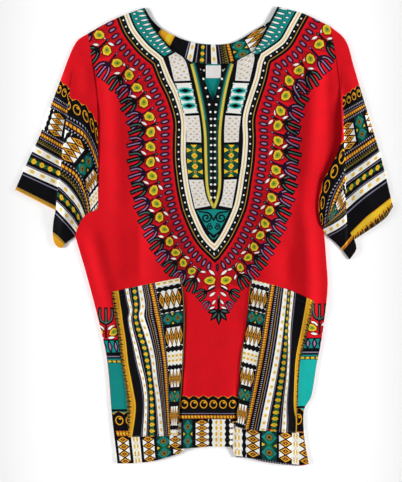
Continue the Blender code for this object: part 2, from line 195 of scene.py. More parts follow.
# The main folds are those of the part's source.
FRONT_RIDGES = [
    Ridge(-158, 95, -148, 350, 24, 10.0), Ridge(-196, 400, -166, 540, 18, 10.0),
    Ridge(-82, 330, -76, 560, 32, 14.0), Ridge(-92, 570, -78, 760, 20, 7.0),
    Ridge(-20, 520, -28, 690, 17, 6.0), Ridge(38, 560, 26, 700, 20, 7.0),
    Ridge(194, 100, 176, 290, 20, 12.0), Ridge(116, 340, 106, 560, 27, 13.0),
    Ridge(178, 330, 184, 560, 20, 12.0), Ridge(112, 590, 92, 770, 16, 7.0),
    Ridge(150, 600, 134, 780, 13, 8.0), Ridge(15, 200, 12, 460, 62, 5.0),
]
FRONT_PLEATS = [Pleat(-34, 640, -39, 800, 2.0, 60, -4.0), Pleat(53, 660, 45, 810, 2.0, 60, 4.0)]
SLEEVE_LEFT_PLEATS = [Pleat(-236, 165, -259, 355, 2.5, 80, -8.0)]
SLEEVE_RIGHT_PLEATS = [Pleat(241, 165, 247, 385, 2.5, 80, 8.0)]
SLEEVE_LEFT_RIDGES = [
    Ridge(-238, 110, -288, 270, 16, 4.0), Ridge(-206, 190, -213, 320, 11, 5.0),
    Ridge(-240, 340, -248, 400, 9, 4.0),
]
SLEEVE_RIGHT_RIDGES = [
    Ridge(254, 110, 292, 290, 16, 4.0), Ridge(222, 300, 222, 370, 10, 4.0),
    Ridge(266, 300, 296, 370, 14, 4.0),
]
# Small creases that only the looks have.
FRONT_CREASES = [
    Ridge(-120, 180, -112, 300, 9, 1.4), Ridge(-188, 200, -176, 330, 8, 2.0),
    Ridge(-60, 430, -52, 560, 9, 1.6), Ridge(-130, 500, -108, 640, 6, 1.8),
    Ridge(-112, 505, -90, 600, 5, 1.3), Ridge(140, 250, 146, 420, 10, 1.6),
    Ridge(206, 250, 199, 380, 8, 2.0), Ridge(150, 500, 138, 660, 6, 1.8), Ridge(74, 480, 62, 620, 8, 1.4),
    Ridge(0, 560, 4, 660, 9, 1.4), Ridge(-60, 385, -58, 470, 24, 8.0), Ridge(-153, 390, -147, 470, 15, 4.5),
    Ridge(90, 400, 86, 470, 22, 7.0), Ridge(222, 130, 220, 240, 14, -3.0),
]
# Creases pressed in sharply. Each falls off evenly from its line.
SHARP_CREASES = [
    Ridge(-114, 375, -112, 480, 17, -5.0), Ridge(-198, 120, -190, 280, 5, -1.6),
    Ridge(148, 425, 148, 480, 18, -5.0), Ridge(191, 195, 188, 330, 12, 4.0),
    Ridge(163, 260, 166, 340, 9, -3.2), Ridge(212, 80, 209, 150, 8, -3.0),
    Ridge(-72, 470, -76, 520, 10, 1.6), Ridge(-30, 545, -34, 640, 7, -1.6),
    Ridge(64, 520, 52, 660, 7, -1.8),
]

SLEEVE_LEFT_CREASES = [Ridge(-250, 85, -262, 150, 9, 4.5), Ridge(-207, 100, -204, 150, 13, 3.5)]

# The inks of the print.
INKS = {
    "red": "D30C1A",
    "deep_red": "AE0A18",
    "black": "050408",
    "gold": "DD9C1E",
    "old_gold": "A98232",
    "pale_gold": "DDB45A",
    "ochre": "BFA35C",
    "yellow": "E2BE2C",
    "straw": "CFC250",
    "cream": "EBE6D6",
    "white": "EDEBE4",
    "linen": "DEDAD7",
    "teal": "0F837E",
    "bright_teal": "18B3AA",
    "mist": "A9CFCB",
    "green": "15683A",
    "deep_green": "0B3A32",
    "olive": "75662A",
    "orange": "D97C22",
    "maroon": "3B0A14",
    "wine": "7A0612",
    "lavender": "9E7899",
    "purple": "1C0620",
    "grey": "7F7A92",
    "silver": "A9A5B6",
    "moss": "4B665E",
    "leaf": "8E9A22",
}

# Unit shapes, one long and one wide, with their length along the first axis.
TURN = np.arange(12) * 2 * pi / 12
SHAPES = {
    "oval": 0.5 * np.column_stack([np.cos(TURN), np.sin(TURN)]),
    "disc": 0.5 * np.column_stack([np.cos(TURN[::2]), np.sin(TURN[::2])]),
    "lozenge": np.array([(-0.5, 0), (0, -0.5), (0.5, 0), (0, 0.5)]),
    "bar": np.array([(-0.5, -0.5), (0.5, -0.5), (0.5, 0.5), (-0.5, 0.5)]),
    "tooth": np.array([(-0.5, -0.5), (0.5, -0.5), (0, 0.5)]),
    "fang": np.array([(-0.5, 0.5), (0, -0.5), (0.5, 0.5)]),
    "slant": np.array([(-0.5, -0.5), (0, -0.5), (0.5, 0.5), (0, 0.5)]),
    "petal": np.array([(-0.5, 0), (-0.25, -0.42), (0.1, -0.5), (0.5, 0), (0.1, 0.5), (-0.25, 0.42)]),
    "seed": np.array(
        [(-0.5, 0.06), (-0.28, -0.3), (0.16, -0.5), (0.5, -0.2), (0.42, 0.34), (0, 0.5), (-0.34, 0.36)]
    ),
    "bow": np.array([(-0.5, -0.5), (0, -0.16), (0.5, -0.5), (0.5, 0.5), (0, 0.16), (-0.5, 0.5)]),
    "cross": np.array(
        [(-0.5, -0.5), (-0.22, -0.5), (0, -0.16), (0.22, -0.5), (0.5, -0.5), (0.5, -0.22)]
        + [(0.16, 0), (0.5, 0.22), (0.5, 0.5), (0.22, 0.5), (0, 0.16), (-0.22, 0.5)]
        + [(-0.5, 0.5), (-0.5, 0.22), (-0.16, 0), (-0.5, -0.22)]
    ),
}

# Each band of the print is a pile of marks, each with its shape, ink, middle, width, pitch, length and shift.
# Middle and width are shares of the band's width, and length and shift are shares of the pitch.
BAND_MARKS = {
    "black": "stripe black",
    "teal": "stripe teal",
    "bright_teal": "stripe bright_teal",
    "gold": "stripe gold, stripe old_gold 0.06 0.12, stripe yellow 0.7 0.3",
    "grey": "stripe black, stripe grey 0.5 0.34",
    "gold_line": "stripe black, stripe old_gold 0.5 0.5",
    "cream_line": "stripe cream, stripe pale_gold 0.5 0.22",
    "white_gold": (
        "stripe white, oval cream 0.5 0.8 17 0.66, oval pale_gold 0.5 0.5 17 0.46,"
        "oval yellow 0.5 0.28 17 0.3"
    ),
    "beads": (
        "stripe black, stripe green 0.5 0.56, stripe deep_green 0.5 0.2, petal gold 0.5 0.78 15 0.7,"
        "petal yellow 0.5 0.56 15 0.52, petal leaf 0.5 0.2 15 0.26"
    ),
    "braid": "stripe black, stripe orange 0.5 0.66, stripe yellow 0.5 0.2, slant black 0.5 0.8 5.6 0.5",
    "dots": "stripe black, tooth silver 0.5 0.62 4.6 0.6",
    "olive": "stripe black, stripe olive 0.68 0.44, bar black 0.62 0.26 5 0.54, bar olive 0.22 0.2 5 0.4",
    "specks": "stripe black, oval white 0.5 0.38 12.5 0.25, disc deep_green 0.5 0.3 12.5 0.16 0.5",
    "rings": (
        "frill gold 0.5 0.94 17 0.14, frill black 0.53 0.94 17 0.14, oval gold 0.5 0.52 17 0.8,"
        "oval black 0.5 0.4 17 0.6, petal gold 0.4 0.12 17 0.34 0.1, disc gold 0.12 0.09 17 0.16 0.5"
    ),
    "lozenges": (
        "stripe black, tooth white 0.2 0.4 11 0.86 0.5, fang white 0.8 0.4 11 0.86 0.5,"
        "lozenge black 0.5 1.0 11 1.0, lozenge orange 0.5 0.86 11 0.84, lozenge yellow 0.5 0.7 11 0.66,"
        "lozenge maroon 0.5 0.54 11 0.5, oval orange 0.5 0.16 11 0.2"
    ),
    "white_rows": (
        "stripe white, oval yellow 0.31 0.22 11 0.8, oval yellow 0.69 0.22 11 0.8,"
        "oval gold 0.31 0.1 11 0.5, oval gold 0.69 0.1 11 0.5, disc pale_gold 0.5 0.12 11 0.3 0.5"
    ),
    "scallop": "stripe white, wave black 0.5 0.8 11 0.24",
    "ovals": (
        "stripe black, stripe deep_green 0.5 0.86, bow green 0.5 0.8 20 0.98 0.5,"
        "lozenge teal 0.5 0.9 20 0.92, oval deep_green 0.5 0.5 20 0.5, oval olive 0.5 0.42 20 0.42,"
        "oval maroon 0.5 0.16 20 0.16, tooth yellow 0.16 0.18 20 0.24 0.5,"
        "fang yellow 0.84 0.18 20 0.24 0.5"
    ),
    "fringe": (
        "stripe gold, stripe old_gold 0.3 0.6, stripe black 0.09 0.18, bar black 0.28 0.56 3.1 0.5,"
        "bar black 0.36 0.72 7.7 0.24, bar black 0.42 0.84 12.7 0.14, bar olive 0.2 0.26 9.1 0.3"
    ),
    "yellow": "stripe yellow, stripe gold 0.1 0.2",
    "orange": "stripe gold, stripe orange 0.7 0.6, bar black 0.8 0.5 3 0.4",
    "frayed": (
        "stripe gold, stripe old_gold 0.6 0.5, stripe black 0.9 0.2, bar maroon 0.6 0.8 4.1 0.36,"
        "bar black 0.62 0.7 2.6 0.46, bar black 0.5 0.9 7.3 0.16"
    ),
    "dark_edge": "stripe black, stripe old_gold 0.5 0.3, slant black 0.5 0.4 3.8 0.4",
    "collar": (
        "stripe teal, stripe black 0.07 0.14, petal deep_green 0.34 0.56 9 0.7,"
        "petal white 0.34 0.46 9 0.4, disc deep_green 0.78 0.3 9 0.5 0.5, disc white 0.78 0.18 9 0.32 0.5"
    ),
    "dotted": (
        "stripe linen, petal ochre 0.3 0.2 10 0.36, petal ochre 0.72 0.2 10 0.36,"
        "disc ochre 0.12 0.1 10 0.22 0.5, disc ochre 0.51 0.14 10 0.28 0.5, disc ochre 0.9 0.1 10 0.22 0.5"
    ),
    "eyes": (
        "stripe white, oval mist 0.5 0.98 14 0.96 0.5, oval bright_teal 0.5 0.8 14 0.78 0.5,"
        "lozenge teal 0.5 0.96 14 0.6 0.5, lozenge deep_green 0.5 0.6 14 0.6 0.5,"
        "oval black 0.5 0.36 14 0.46 0.5, fang teal 0.95 0.12 7 0.7, tooth teal 0.05 0.12 7 0.7,"
        "fang black 0.97 0.07 14 0.4, tooth black 0.03 0.07 14 0.4"
    ),
    "leaves": (
        "stripe yellow, cross deep_green 0.5 1.0 19 1.0, bow green 0.5 0.5 19 0.5,"
        "lozenge gold 0.5 0.24 19 0.3, oval deep_green 0.5 0.1 19 0.12, lozenge orange 0.5 0.2 19 0.24 0.5"
    ),
    "purple_ovals": (
        "stripe black, stripe teal 0.5 0.8, petal black 0.5 0.9 10 0.86, petal purple 0.5 0.74 10 0.66,"
        "petal lavender 0.5 0.54 10 0.34"
    ),
    "double_line": "stripe black, stripe grey 0.3 0.12, stripe teal 0.62 0.16, bar yellow 0.84 0.2 8 0.7",
}
BANDS = {kind: read_marks(marks) for kind, marks in BAND_MARKS.items()}

COLLAR_LEFT = [(-113, -18), (-104, 2), (-87, 35), (-66, 63), (-54, 78)]
COLLAR_RIGHT = [(138, -18), (128, 0), (113, 28), (93, 65), (80, 83)]
YOKE_RIM = 3.8  # how far the lines of the yoke reach outside its edge
YOKE_LINES = read_bands("black 3.8, gold_line 2.6, specks 8.0, cream_line 8.4, black 3.2")

# Bands of the border from its ringed edge to the edge of the cloth.
BORDER = read_bands(
    "rings 28, dots 6, grey 3, braid 8, dots 5, block 41, dots 5, braid 8, dots 4, olive 8, black 4,"
    "grey 3, white_gold 11, black 2, grey 4, black 2, beads 13, black 2, grey 4, white_gold 11, black 2,"
    "grey 4, black 18"
)
HEM_LEFT_ENDING = [Band("gold", 30)]
HEM_RIGHT_ENDING = read_bands("yellow 7, frayed 12, black 11")
# Past the fold of the right sleeve, its border ends sooner.
TIP_RIGHT = BORDER[:15] + read_bands("black 55, orange 8, black 23")

# The yoke's outer edge: from each shoulder to a corner, and from there to the tip.
YOKE_TIP = (20, 443)
YOKE_LEFT_TOP = [(-161, -16), (-155, 2), (-148, 23), (-140, 43), (-129, 60), (-110, 82), (-88, 100)]
YOKE_LEFT_SIDE = [
    (-88, 100), (-76, 131), (-62, 160), (-51, 198), (-51, 230), (-51, 267), (-46, 311), (-41, 337),
    (-34, 363), (-12, 409), YOKE_TIP,
]
YOKE_RIGHT_TOP = [(189, -4), (181, 13), (166, 40), (150, 68), (134, 82), (113, 96)]
YOKE_RIGHT_SIDE = [
    (113, 96), (106, 129), (92, 172), (86, 198), (87, 233), (84, 274), (80, 300), (75, 332), (68, 359),
    (47, 404), YOKE_TIP,
]
BACK_YOKE_LEFT = [(-161, -16), (-152, 25), (-128, 72), (-90, 122), (-40, 180), (13, 236)]
BACK_YOKE_RIGHT = [(189, -4), (176, 27), (150, 74), (112, 124), (64, 180), (13, 236)]

PANELS = [
    Panel("dotted", [(-62, 87), (-52, 130)], [(-50, 80), (-33, 94), (-24, 129)]),
    Panel("eyes", [(-51, 134), (-36, 187)], [(-22, 133), (-10, 185)]),
    Panel("dotted", [(-35, 191), (-31, 214), (-31, 236)], [(-9, 190), (-6, 214), (-5, 237)]),
    Panel("leaves", [(-31, 241), (-28, 297)], [(-5, 241), (-2, 298)]),
    Panel("dotted", [(-27, 302), (-16, 352)], [(-2, 302), (3, 330), (11, 347)]),
    Panel("dotted", [(58, 95), (54, 129)], [(79, 80), (88, 87), (79, 130)]),
    Panel("eyes", [(50, 133), (38, 185)], [(78, 134), (64, 187)]),
    Panel("dotted", [(37, 190), (35, 214), (35, 237)], [(64, 191), (61, 214), (60, 236)]),
    Panel("leaves", [(35, 241), (35, 297)], [(60, 241), (58, 296)]),
    Panel("dotted", [(35, 302), (32, 330), (26, 347)], [(57, 301), (48, 351)]),
]
PLACKET_TIP = (17, 351)
PLACKET_LEFT = [(-22, 100), (-15, 127), (-7, 163), (-1, 198), (2, 227), (3, 267), (5, 311), (10, 335)]
PLACKET_LEFT += [PLACKET_TIP]
PLACKET_RIGHT = [(49, 100), (41, 129), (34, 163), (29, 198), (27, 227), (27, 270), (27, 311), (23, 335)]
PLACKET_RIGHT += [PLACKET_TIP]
LOWER_DOTS = np.arange(207.5, 338, 11.4)
PLACKET_DOTS_LEFT = [(-5, 109), (-1, 126), (3, 142), (6, 157), (8.8, 171), (10.8, 184), (11.8, 196)]
PLACKET_DOTS_LEFT += [(12.0, down) for down in LOWER_DOTS]
PLACKET_DOTS_RIGHT = [(34, 109), (31, 126), (26, 142), (24, 157), (21, 171), (19.5, 184), (18.9, 196)]
PLACKET_DOTS_RIGHT += [(18.7, down) for down in LOWER_DOTS]
SCROLL_PANEL = [(-13, 356), (17, 353), (44, 356), (32, 381), (26, 391), (16.5, 398), (8, 391), (1, 381)]

# The ring of motifs round the yoke: places out from its edge, and pitches that widen away from its tip.
OVAL_RING = 17.5
OVAL_PITCH = (10.4, 0.02)
POD_RING = 42.0
POD_PITCH = (19.7, 0.25)
STEM_RING = 32.0
LEAN = radians(15)
# Each prong of a fork, from the end of its stem: how far ahead and how far aside.
PRONGS = [
    [(0, 0), (2.5, 7), (9, 12), (22, 13)],
    [(0, 0), (6, 1.5), (14, 2), (29, 2)],
    [(0, 0), (4, -5), (12, -9), (28, -10.5)],
]
FORK_INKS = [("purple", "lavender"), ("black", "moss")]

# The border on the sleeves, as rungs from the ringed edge to the cuff.
SLEEVE_LEFT_OUTER_RUNGS = [
    Rung(0, [(-262, 120), (-218, 154)]),
    Rung(41, [(-277, 161), (-224, 192)]),
    Rung(99, [(-298, 214), (-231, 252)]),
    Rung(128, [(-311, 239), (-232, 284)]),
    Rung(149, [(-318, 261), (-232, 300)]),
    Rung(168, [(-328, 277), (-236, 317)]),
    Rung(196, [(-340, 307), (-240, 357)]),
    Rung(226, [(-350, 335), (-252, 386)]),
]
SLEEVE_LEFT_INNER_RUNGS = [
    Rung(0, [(-244, 150), (-232, 158), (-209, 170), (-189, 196), (-180, 230), (-176, 262)]),
    Rung(42, [(-252, 198), (-236, 207), (-208, 226), (-194, 252), (-184, 284), (-178, 320), (-176, 350)]),
    Rung(100, [(-290, 250), (-258, 272), (-243, 280), (-222, 295), (-208, 325), (-202, 352), (-200, 380)]),
    Rung(129, [(-290, 280), (-266, 300), (-250, 311), (-232, 330), (-218, 348), (-207, 374), (-204, 390)]),
    Rung(150, [(-290, 304), (-268, 320), (-253, 330), (-235, 346), (-221, 364), (-213, 384), (-206, 402)]),
    Rung(170, [(-290, 330), (-270, 342), (-257, 351), (-237, 372), (-222, 391), (-212, 406)]),
    Rung(196, [(-292, 378), (-276, 386), (-262, 394), (-250, 404), (-236, 420), (-228, 430)]),
    Rung(226, [(-296, 420), (-278, 426), (-262, 432), (-246, 440), (-240, 446)]),
]
SLEEVE_RIGHT_OUTER_RUNGS = [
    Rung(0, [(230, 164), (278, 130)]),
    Rung(34, [(229, 194), (290, 160)]),
    Rung(42, [(232, 201), (292, 166)]),
    Rung(99, [(238, 270), (310, 221)]),
    Rung(129, [(240, 307), (277, 281), (318, 251)]),
    Rung(150, [(240, 329), (277, 299), (320, 270)]),
    Rung(170, [(240, 356), (277, 324), (326, 290)]),
    Rung(196, [(242, 406), (262, 387), (283, 366), (300, 353), (334, 326)]),
    Rung(215, [(244, 432), (262, 412), (300, 388), (340, 342)]),
    Rung(226, [(246, 446), (268, 424), (308, 399), (346, 350)]),
]
SLEEVE_RIGHT_INNER_RUNGS = [
    Rung(0, [(242, 230), (226, 262), (208, 300), (199, 352), (204, 420)]),
    Rung(28, [(252, 268), (234, 300), (218, 326), (210, 360), (208, 410)]),
    Rung(42, [(256, 284), (241, 308), (227, 338), (212, 380)]),
    Rung(100, [(262, 326), (250, 344), (234, 362), (210, 382)]),
    Rung(123, [(262, 346), (246, 364), (230, 376), (202, 391)]),
    Rung(140, [(266, 362), (250, 381), (236, 392), (210, 406)]),
    Rung(196, [(272, 384), (261, 395), (250, 408), (228, 434)]),
    Rung(226, [(280, 404), (270, 416), (260, 432), (250, 446)]),
]
ROWS_LEFT_OUTER = read_bands("white_rows 20, scallop 9, lozenges 29, black 26")
ROWS_LEFT_INNER = read_bands(
    "white_rows 14, scallop 5, lozenges 20, black 4, ovals 15, black 3, lozenges 14, scallop 4,"
    "white_rows 12, scallop 3, lozenges 10"
)
ROWS_RIGHT_OUTER = read_bands("black 8, lozenges 27, black 3, ovals 22, black 4, lozenges 22")
ROWS_RIGHT_INNER = read_bands("white_rows 22, scallop 8, lozenges 26, ovals 30, black 10")
POCKET_ROWS = read_bands(
    "white_rows 16, scallop 8, lozenges 26, scallop 8, ovals 19, black 4, lozenges 28, scallop 10,"
    "white_rows 19, scallop 9, lozenges 26, black 5, ovals 19, black 6, lozenges 28, scallop 9,"
    "white_rows 16"
)


def smooth_edge(rows, step=EDGE_STEP):
    """Evenly spaced points on a smooth curve through the rows, without the last one."""
    knots = np.array(rows, float)
    ends = 2 * knots[[0, -1]] - knots[[1, -2]]
    knots = np.vstack([ends[:1], knots, ends[1:]])
    fine = []
    for before, here, there, after in zip(knots, knots[1:], knots[2:], knots[3:]):
        for t in np.linspace(0, 1, CURVE_STEPS, endpoint=False):
            bend = 2 * before - 5 * here + 4 * there - after
            turn = 3 * here - before - 3 * there + after
            curve = 2 * here + (there - before) * t + bend * t**2 + turn * t**3
            fine.append(curve / 2)
    fine = np.array(fine + [knots[-2]])
    along = np.append(0, np.cumsum(np.hypot(*np.diff(fine, axis=0).T)))
    count = max(1, ceil(along[-1] / step))
    at = np.linspace(0, along[-1], count + 1)[:-1]
    return np.column_stack([np.interp(at, along, column) for column in fine.T])


def smooth_line(rows, step=EDGE_STEP):
    """The same with its last point."""
    return np.vstack([smooth_edge(rows, step), [tuple(rows[-1])]])


def outline(edges, step=EDGE_STEP):
    """A closed ring round a piece from its edges in order."""
    return np.vstack([smooth_edge(edge, step) for edge in edges])


def lengths_along(line):
    """How far along a line each of its points lies."""
    return np.append(0, np.cumsum(np.hypot(*np.diff(line, axis=0).T)))


def resampled(line, count):
    """A line with the given number of evenly spaced points."""
    along = lengths_along(line)
    at = np.linspace(0, along[-1], count)
    return np.column_stack([np.interp(at, along, column) for column in line.T])


def is_inside(ring, points):
    """Which points lie inside a closed ring."""
    inside = np.zeros(len(points), bool)
    for (x0, y0), (x1, y1) in zip(ring, np.roll(ring, -1, axis=0)):
        crosses = (y0 > points[:, 1]) != (y1 > points[:, 1])
        rise = y1 - y0 if y1 != y0 else 1.0
        inside ^= crosses & (points[:, 0] < x0 + (points[:, 1] - y0) * (x1 - x0) / rise)
    return inside


def distance_to(line, points, closed=False):
    """How far each point lies from a line of straight stretches."""
    line = np.asarray(line, float)
    ends = np.roll(line, -1, axis=0) if closed else line[1:]
    nearest = np.full(len(points), np.inf)
    for start, end in zip(line, ends):
        run = end - start
        t = np.clip((points - start) @ run / max(run @ run, LEAST_RUN), 0, 1)
        nearest = np.minimum(nearest, np.hypot(*(points - start - t[:, None] * run).T))
    return nearest


def nearest_of(edges, points):
    """How far each point lies from the nearest of several edges."""
    return np.min([distance_to(smooth_line(edge), points) for edge in edges], axis=0)


def ease(value):
    """A smooth rise from 0 to 1."""
    value = np.clip(value, 0, 1)
    return value * value * (3 - 2 * value)


def along_fold(fold, points):
    """Where each point lies along a fold's line, from 0 to 1, and how far to its right."""
    start = np.array([fold.across, fold.down])
    run = np.array([fold.to_across, fold.to_down]) - start
    length = hypot(*run)
    offset = points - start
    side = (offset[:, 1] * run[0] - offset[:, 0] * run[1]) / length
    return offset @ run / length**2, -side


def faded(t, span):
    """1 along a fold's line, falling smoothly to 0 past both of its ends."""
    return ease((t - span.start) / span.fade) * ease((span.stop - t) / span.fade)


def fold_height(ridges, pleats, points, creases=()):
    """What the folds add at each point."""
    height = np.zeros(len(points))
    for ridge in ridges:
        t, side = along_fold(ridge, points)
        height += ridge.height * faded(t, RIDGE_SPAN) * np.exp(-((side / ridge.width) ** 2))
    for crease in creases:
        t, side = along_fold(crease, points)
        height += crease.height * faded(t, RIDGE_SPAN) * np.exp(-np.hypot(side, CREASE_ROUND) / crease.width)
    for pleat in pleats:
        t, side = along_fold(pleat, points)
        side = side * np.sign(-pleat.height)
        over = ease(side / (2 * pleat.edge) + 0.5) * ease(1 - side / pleat.reach)
        height += abs(pleat.height) * faded(t, PLEAT_SPAN) * over
    return height


def ripple(points):
    """The cloth's slight unevenness, never below nothing: a few long waves that cross one another."""
    x, y = points.T
    waves = np.sin(x / 13 + np.sin(y / 41)) * np.sin(y / 29 + 1.3) + np.sin(x / 31 - y / 37 + 0.7)
    return RIPPLE * (waves + 2)


def hem_rise(edges, points):
    """The turned hem: one more layer of cloth along the edges, ending at its line of stitches."""
    away = nearest_of(edges, points)
    return HEM_RISE * ease((HEM_WIDTH + HEM_EASE / 2 - away) / HEM_EASE)


def neck_lift(points):
    """The front's rise over the facing, round the neck."""
    away = np.hypot(*(points - np.array(NECK_CENTRE)).T)
    return NECK_LIFT * ease((NECK_REACH - away) / NECK_FADE)


def front_top(points):
    """Height of the front's upper face."""
    seams = [SHOULDER_LEFT, ARMHOLE_LEFT, UNDERARM_LEFT, SIDE_LEFT, SHOULDER_RIGHT, ARMHOLE_RIGHT, SIDE_RIGHT]
    away = nearest_of(seams, points)
    folds = fold_height(FRONT_RIDGES + FRONT_CREASES, FRONT_PLEATS, points, SHARP_CREASES)
    soft = np.maximum(folds + ripple(points), 0) * ease(away / SOFT_EDGE)
    hems = hem_rise([HEM_LEFT, HEM_MIDDLE, HEM_RIGHT], points)
    return 2 * CLOTH + SEAM + neck_lift(points) + soft + hems


def pocket_top(outer):
    """A function for the upper face of a pocket that lies on the front, with its edges turned under."""

    def height(points):
        away = distance_to(outer, points, closed=True)
        turned_edge = POCKET_RISE * ease((POCKET_TURN - away) / POCKET_EASE)
        return front_top(points) + SEAM + TRIM + turned_edge

    return height


def sleeve_top(closed_edges, hem_edges, ridges, pleats):
    """A function for the upper face of a sleeve laid flat."""

    def height(points):
        away = nearest_of(closed_edges, points)
        folds = fold_height(ridges, pleats, points) + ripple(points)
        return 2 * CLOTH + SLEEVE_ROOM + folds * ease(away / (SOFT_EDGE / 2)) + hem_rise(hem_edges, points)

    return height


def level(height):
    """A function for a face at one height."""
    return lambda points: np.full(len(points), float(height))


def inward(line):
    """For each point of a line, the step to its right, seen from above, that moves the line by 1."""
    run = np.diff(line, axis=0)
    run /= np.hypot(*run.T)[:, None]
    side = np.column_stack([run[:, 1], -run[:, 0]])
    before = np.vstack([side[:1], side])
    after = np.vstack([side, side[-1:]])
    middle = before + after
    middle /= np.maximum(np.hypot(*middle.T), 1e-6)[:, None]
    return middle / np.maximum((middle * after).sum(axis=1), MITRE)[:, None]


def beside(chain, distance):
    """A line at an even distance to a chain's right, without the loops that its corners would make."""
    line = chain + inward(chain) * distance
    clear = distance_to(chain, line) > CLEAR * abs(distance)
    numbers = np.arange(len(chain))
    return np.column_stack([np.interp(numbers, numbers[clear], column[clear]) for column in line.T])


class Patch:
    """A stretch of cloth for the print: lines laid side by side, each with its place across them."""

    def __init__(self, places, grid, zone=None):
        self.places = np.array(places, float)
        self.grid = np.array(grid)
        self.zone = zone
        self.length = np.mean([lengths_along(line)[-1] for line in self.grid])

    def at(self, along, across):
        """Points on the cloth, for distances along and across the patch."""
        last = self.grid.shape[1] - 1
        row = np.interp(across, self.places, np.arange(len(self.places)))
        column = np.clip(along / self.length, 0, 1) * last
        i = np.minimum(row.astype(int), len(self.places) - 2)
        j = np.minimum(column.astype(int), last - 1)
        s = (row - i)[:, None]
        t = (column - j)[:, None]
        near = self.grid[i, j] * (1 - t) + self.grid[i, j + 1] * t
        far = self.grid[i + 1, j] * (1 - t) + self.grid[i + 1, j + 1] * t
        return near * (1 - s) + far * s


def patch_over(rungs, zone=None):
    """A patch over rungs given by a few points each."""
    grid = [resampled(smooth_line(rung.points, 4), CURVE_POINTS) for rung in rungs]
    return Patch([rung.place for rung in rungs], grid, zone)


class Area:
    """A rectangle of a patch. A band runs along it, and along the patch's other direction if it is turned."""

    def __init__(self, patch, start, stop, low, high, turned=False):
        self.patch = patch
        self.start = start
        self.low = low
        self.turned = turned
        self.length, self.width = (high - low, stop - start) if turned else (stop - start, high - low)

    def at(self, along, across):
        """Points on the cloth, for distances along and across the band."""
        if self.turned:
            return self.patch.at(self.start + across, self.low + along)
        return self.patch.at(self.start + along, self.low + across)


class Print:
    """Shapes of one ink each, in the order that they are laid on one another."""

    def __init__(self, ground="red", zones=None, pitch=1.0):
        self.ground = ground
        self.pitch = pitch
        self.zones = zones or {}
        self.shapes = []

    def paint(self, colour, ring, zone=None):
        """A shape of one ink on top of the others, within a zone if one is named."""
        self.shapes.append(Shape(colour, np.asarray(ring, float), zone))

    def stamp(self, colour, shape, spot, ahead, length, width):
        """One unit shape at a spot, its length pointing ahead."""
        ahead = np.asarray(ahead) / hypot(*ahead)
        side = np.array([-ahead[1], ahead[0]])
        unit = SHAPES[shape]
        self.paint(colour, spot + unit[:, :1] * length * ahead + unit[:, 1:] * width * side)

    def stroke(self, colour, rows, width, shift=0.0):
        """A line of even width along a smooth curve, moved sideways by the shift."""
        line = smooth_line(rows, 5)
        side = inward(line)
        ring = np.vstack([line + side * (shift + width / 2), (line + side * (shift - width / 2))[::-1]])
        self.paint(colour, ring)

    def stripe(self, area, mark):
        """A stripe in short lengths. A wave swells on both sides, and a frill on its first side alone."""
        waves = max(1, round(area.length / (mark.pitch * self.pitch))) if mark.pitch else 0
        count = max(2, ceil(area.length / STRIPE_STEP) + 1, WAVE_STEPS * waves + 1)
        along = np.linspace(0, area.length, count)
        swell = 0 * along
        if waves:
            swell = -mark.length * area.width * 0.5 * np.cos(2 * pi * waves * along / area.length)
        low = np.maximum((mark.middle - mark.width / 2) * area.width - swell, 0)
        high = (mark.middle + mark.width / 2) * area.width + (swell if mark.shape == "wave" else 0 * along)
        below = area.at(along, low)
        above = area.at(along, np.minimum(high, area.width))
        for first in range(0, count - 1, STRIPE_LINKS):
            part = slice(first, first + STRIPE_LINKS + 1)
            self.paint(mark.colour, np.vstack([below[part], above[part][::-1]]), area.patch.zone)

    def mark(self, area, mark):
        """One kind of mark of a band, along the whole area."""
        if mark.shape in ("stripe", "wave", "frill"):
            self.stripe(area, mark)
            return
        count = max(1, round(area.length / (mark.pitch * self.pitch)))
        step = area.length / count
        middles = (np.arange(count) + 0.5 + mark.shift) * step
        half = mark.length * step / 2
        unit = SHAPES[mark.shape]
        for middle in middles[middles + half < area.length * ROUNDING]:
            along = middle + unit[:, 0] * mark.length * step
            across = (mark.middle + unit[:, 1] * mark.width) * area.width
            self.paint(mark.colour, area.at(along, across), area.patch.zone)

    def band(self, area, kind):
        """All the marks of one kind of band."""
        for mark in BANDS[kind]:
            self.mark(area, mark)

    def block(self, area, rows):
        """Rows of motifs one after another along the area, each running across it."""
        scale = area.length / sum(row.width for row in rows)
        start = area.start
        for row in rows:
            stop = start + row.width * scale
            self.band(Area(area.patch, start, stop, area.low, area.low + area.width, turned=True), row.kind)
            start = stop

    def bands(self, patch, bands, rows=(), place=0.0):
        """Bands side by side across a patch, each along the whole of it."""
        for band in bands:
            area = Area(patch, 0, patch.length, place, place + band.width)
            if band.kind == "block":
                self.block(area, rows)
            else:
                self.band(area, band.kind)
            place += band.width


def yoke_chain(edges):
    """The yoke's outer edge as one line, down from the left shoulder to the tip and up to the right one."""
    parts = [smooth_edge(edge) for edge in edges]
    return np.vstack([*parts, [tuple(edges[-1][-1])]])


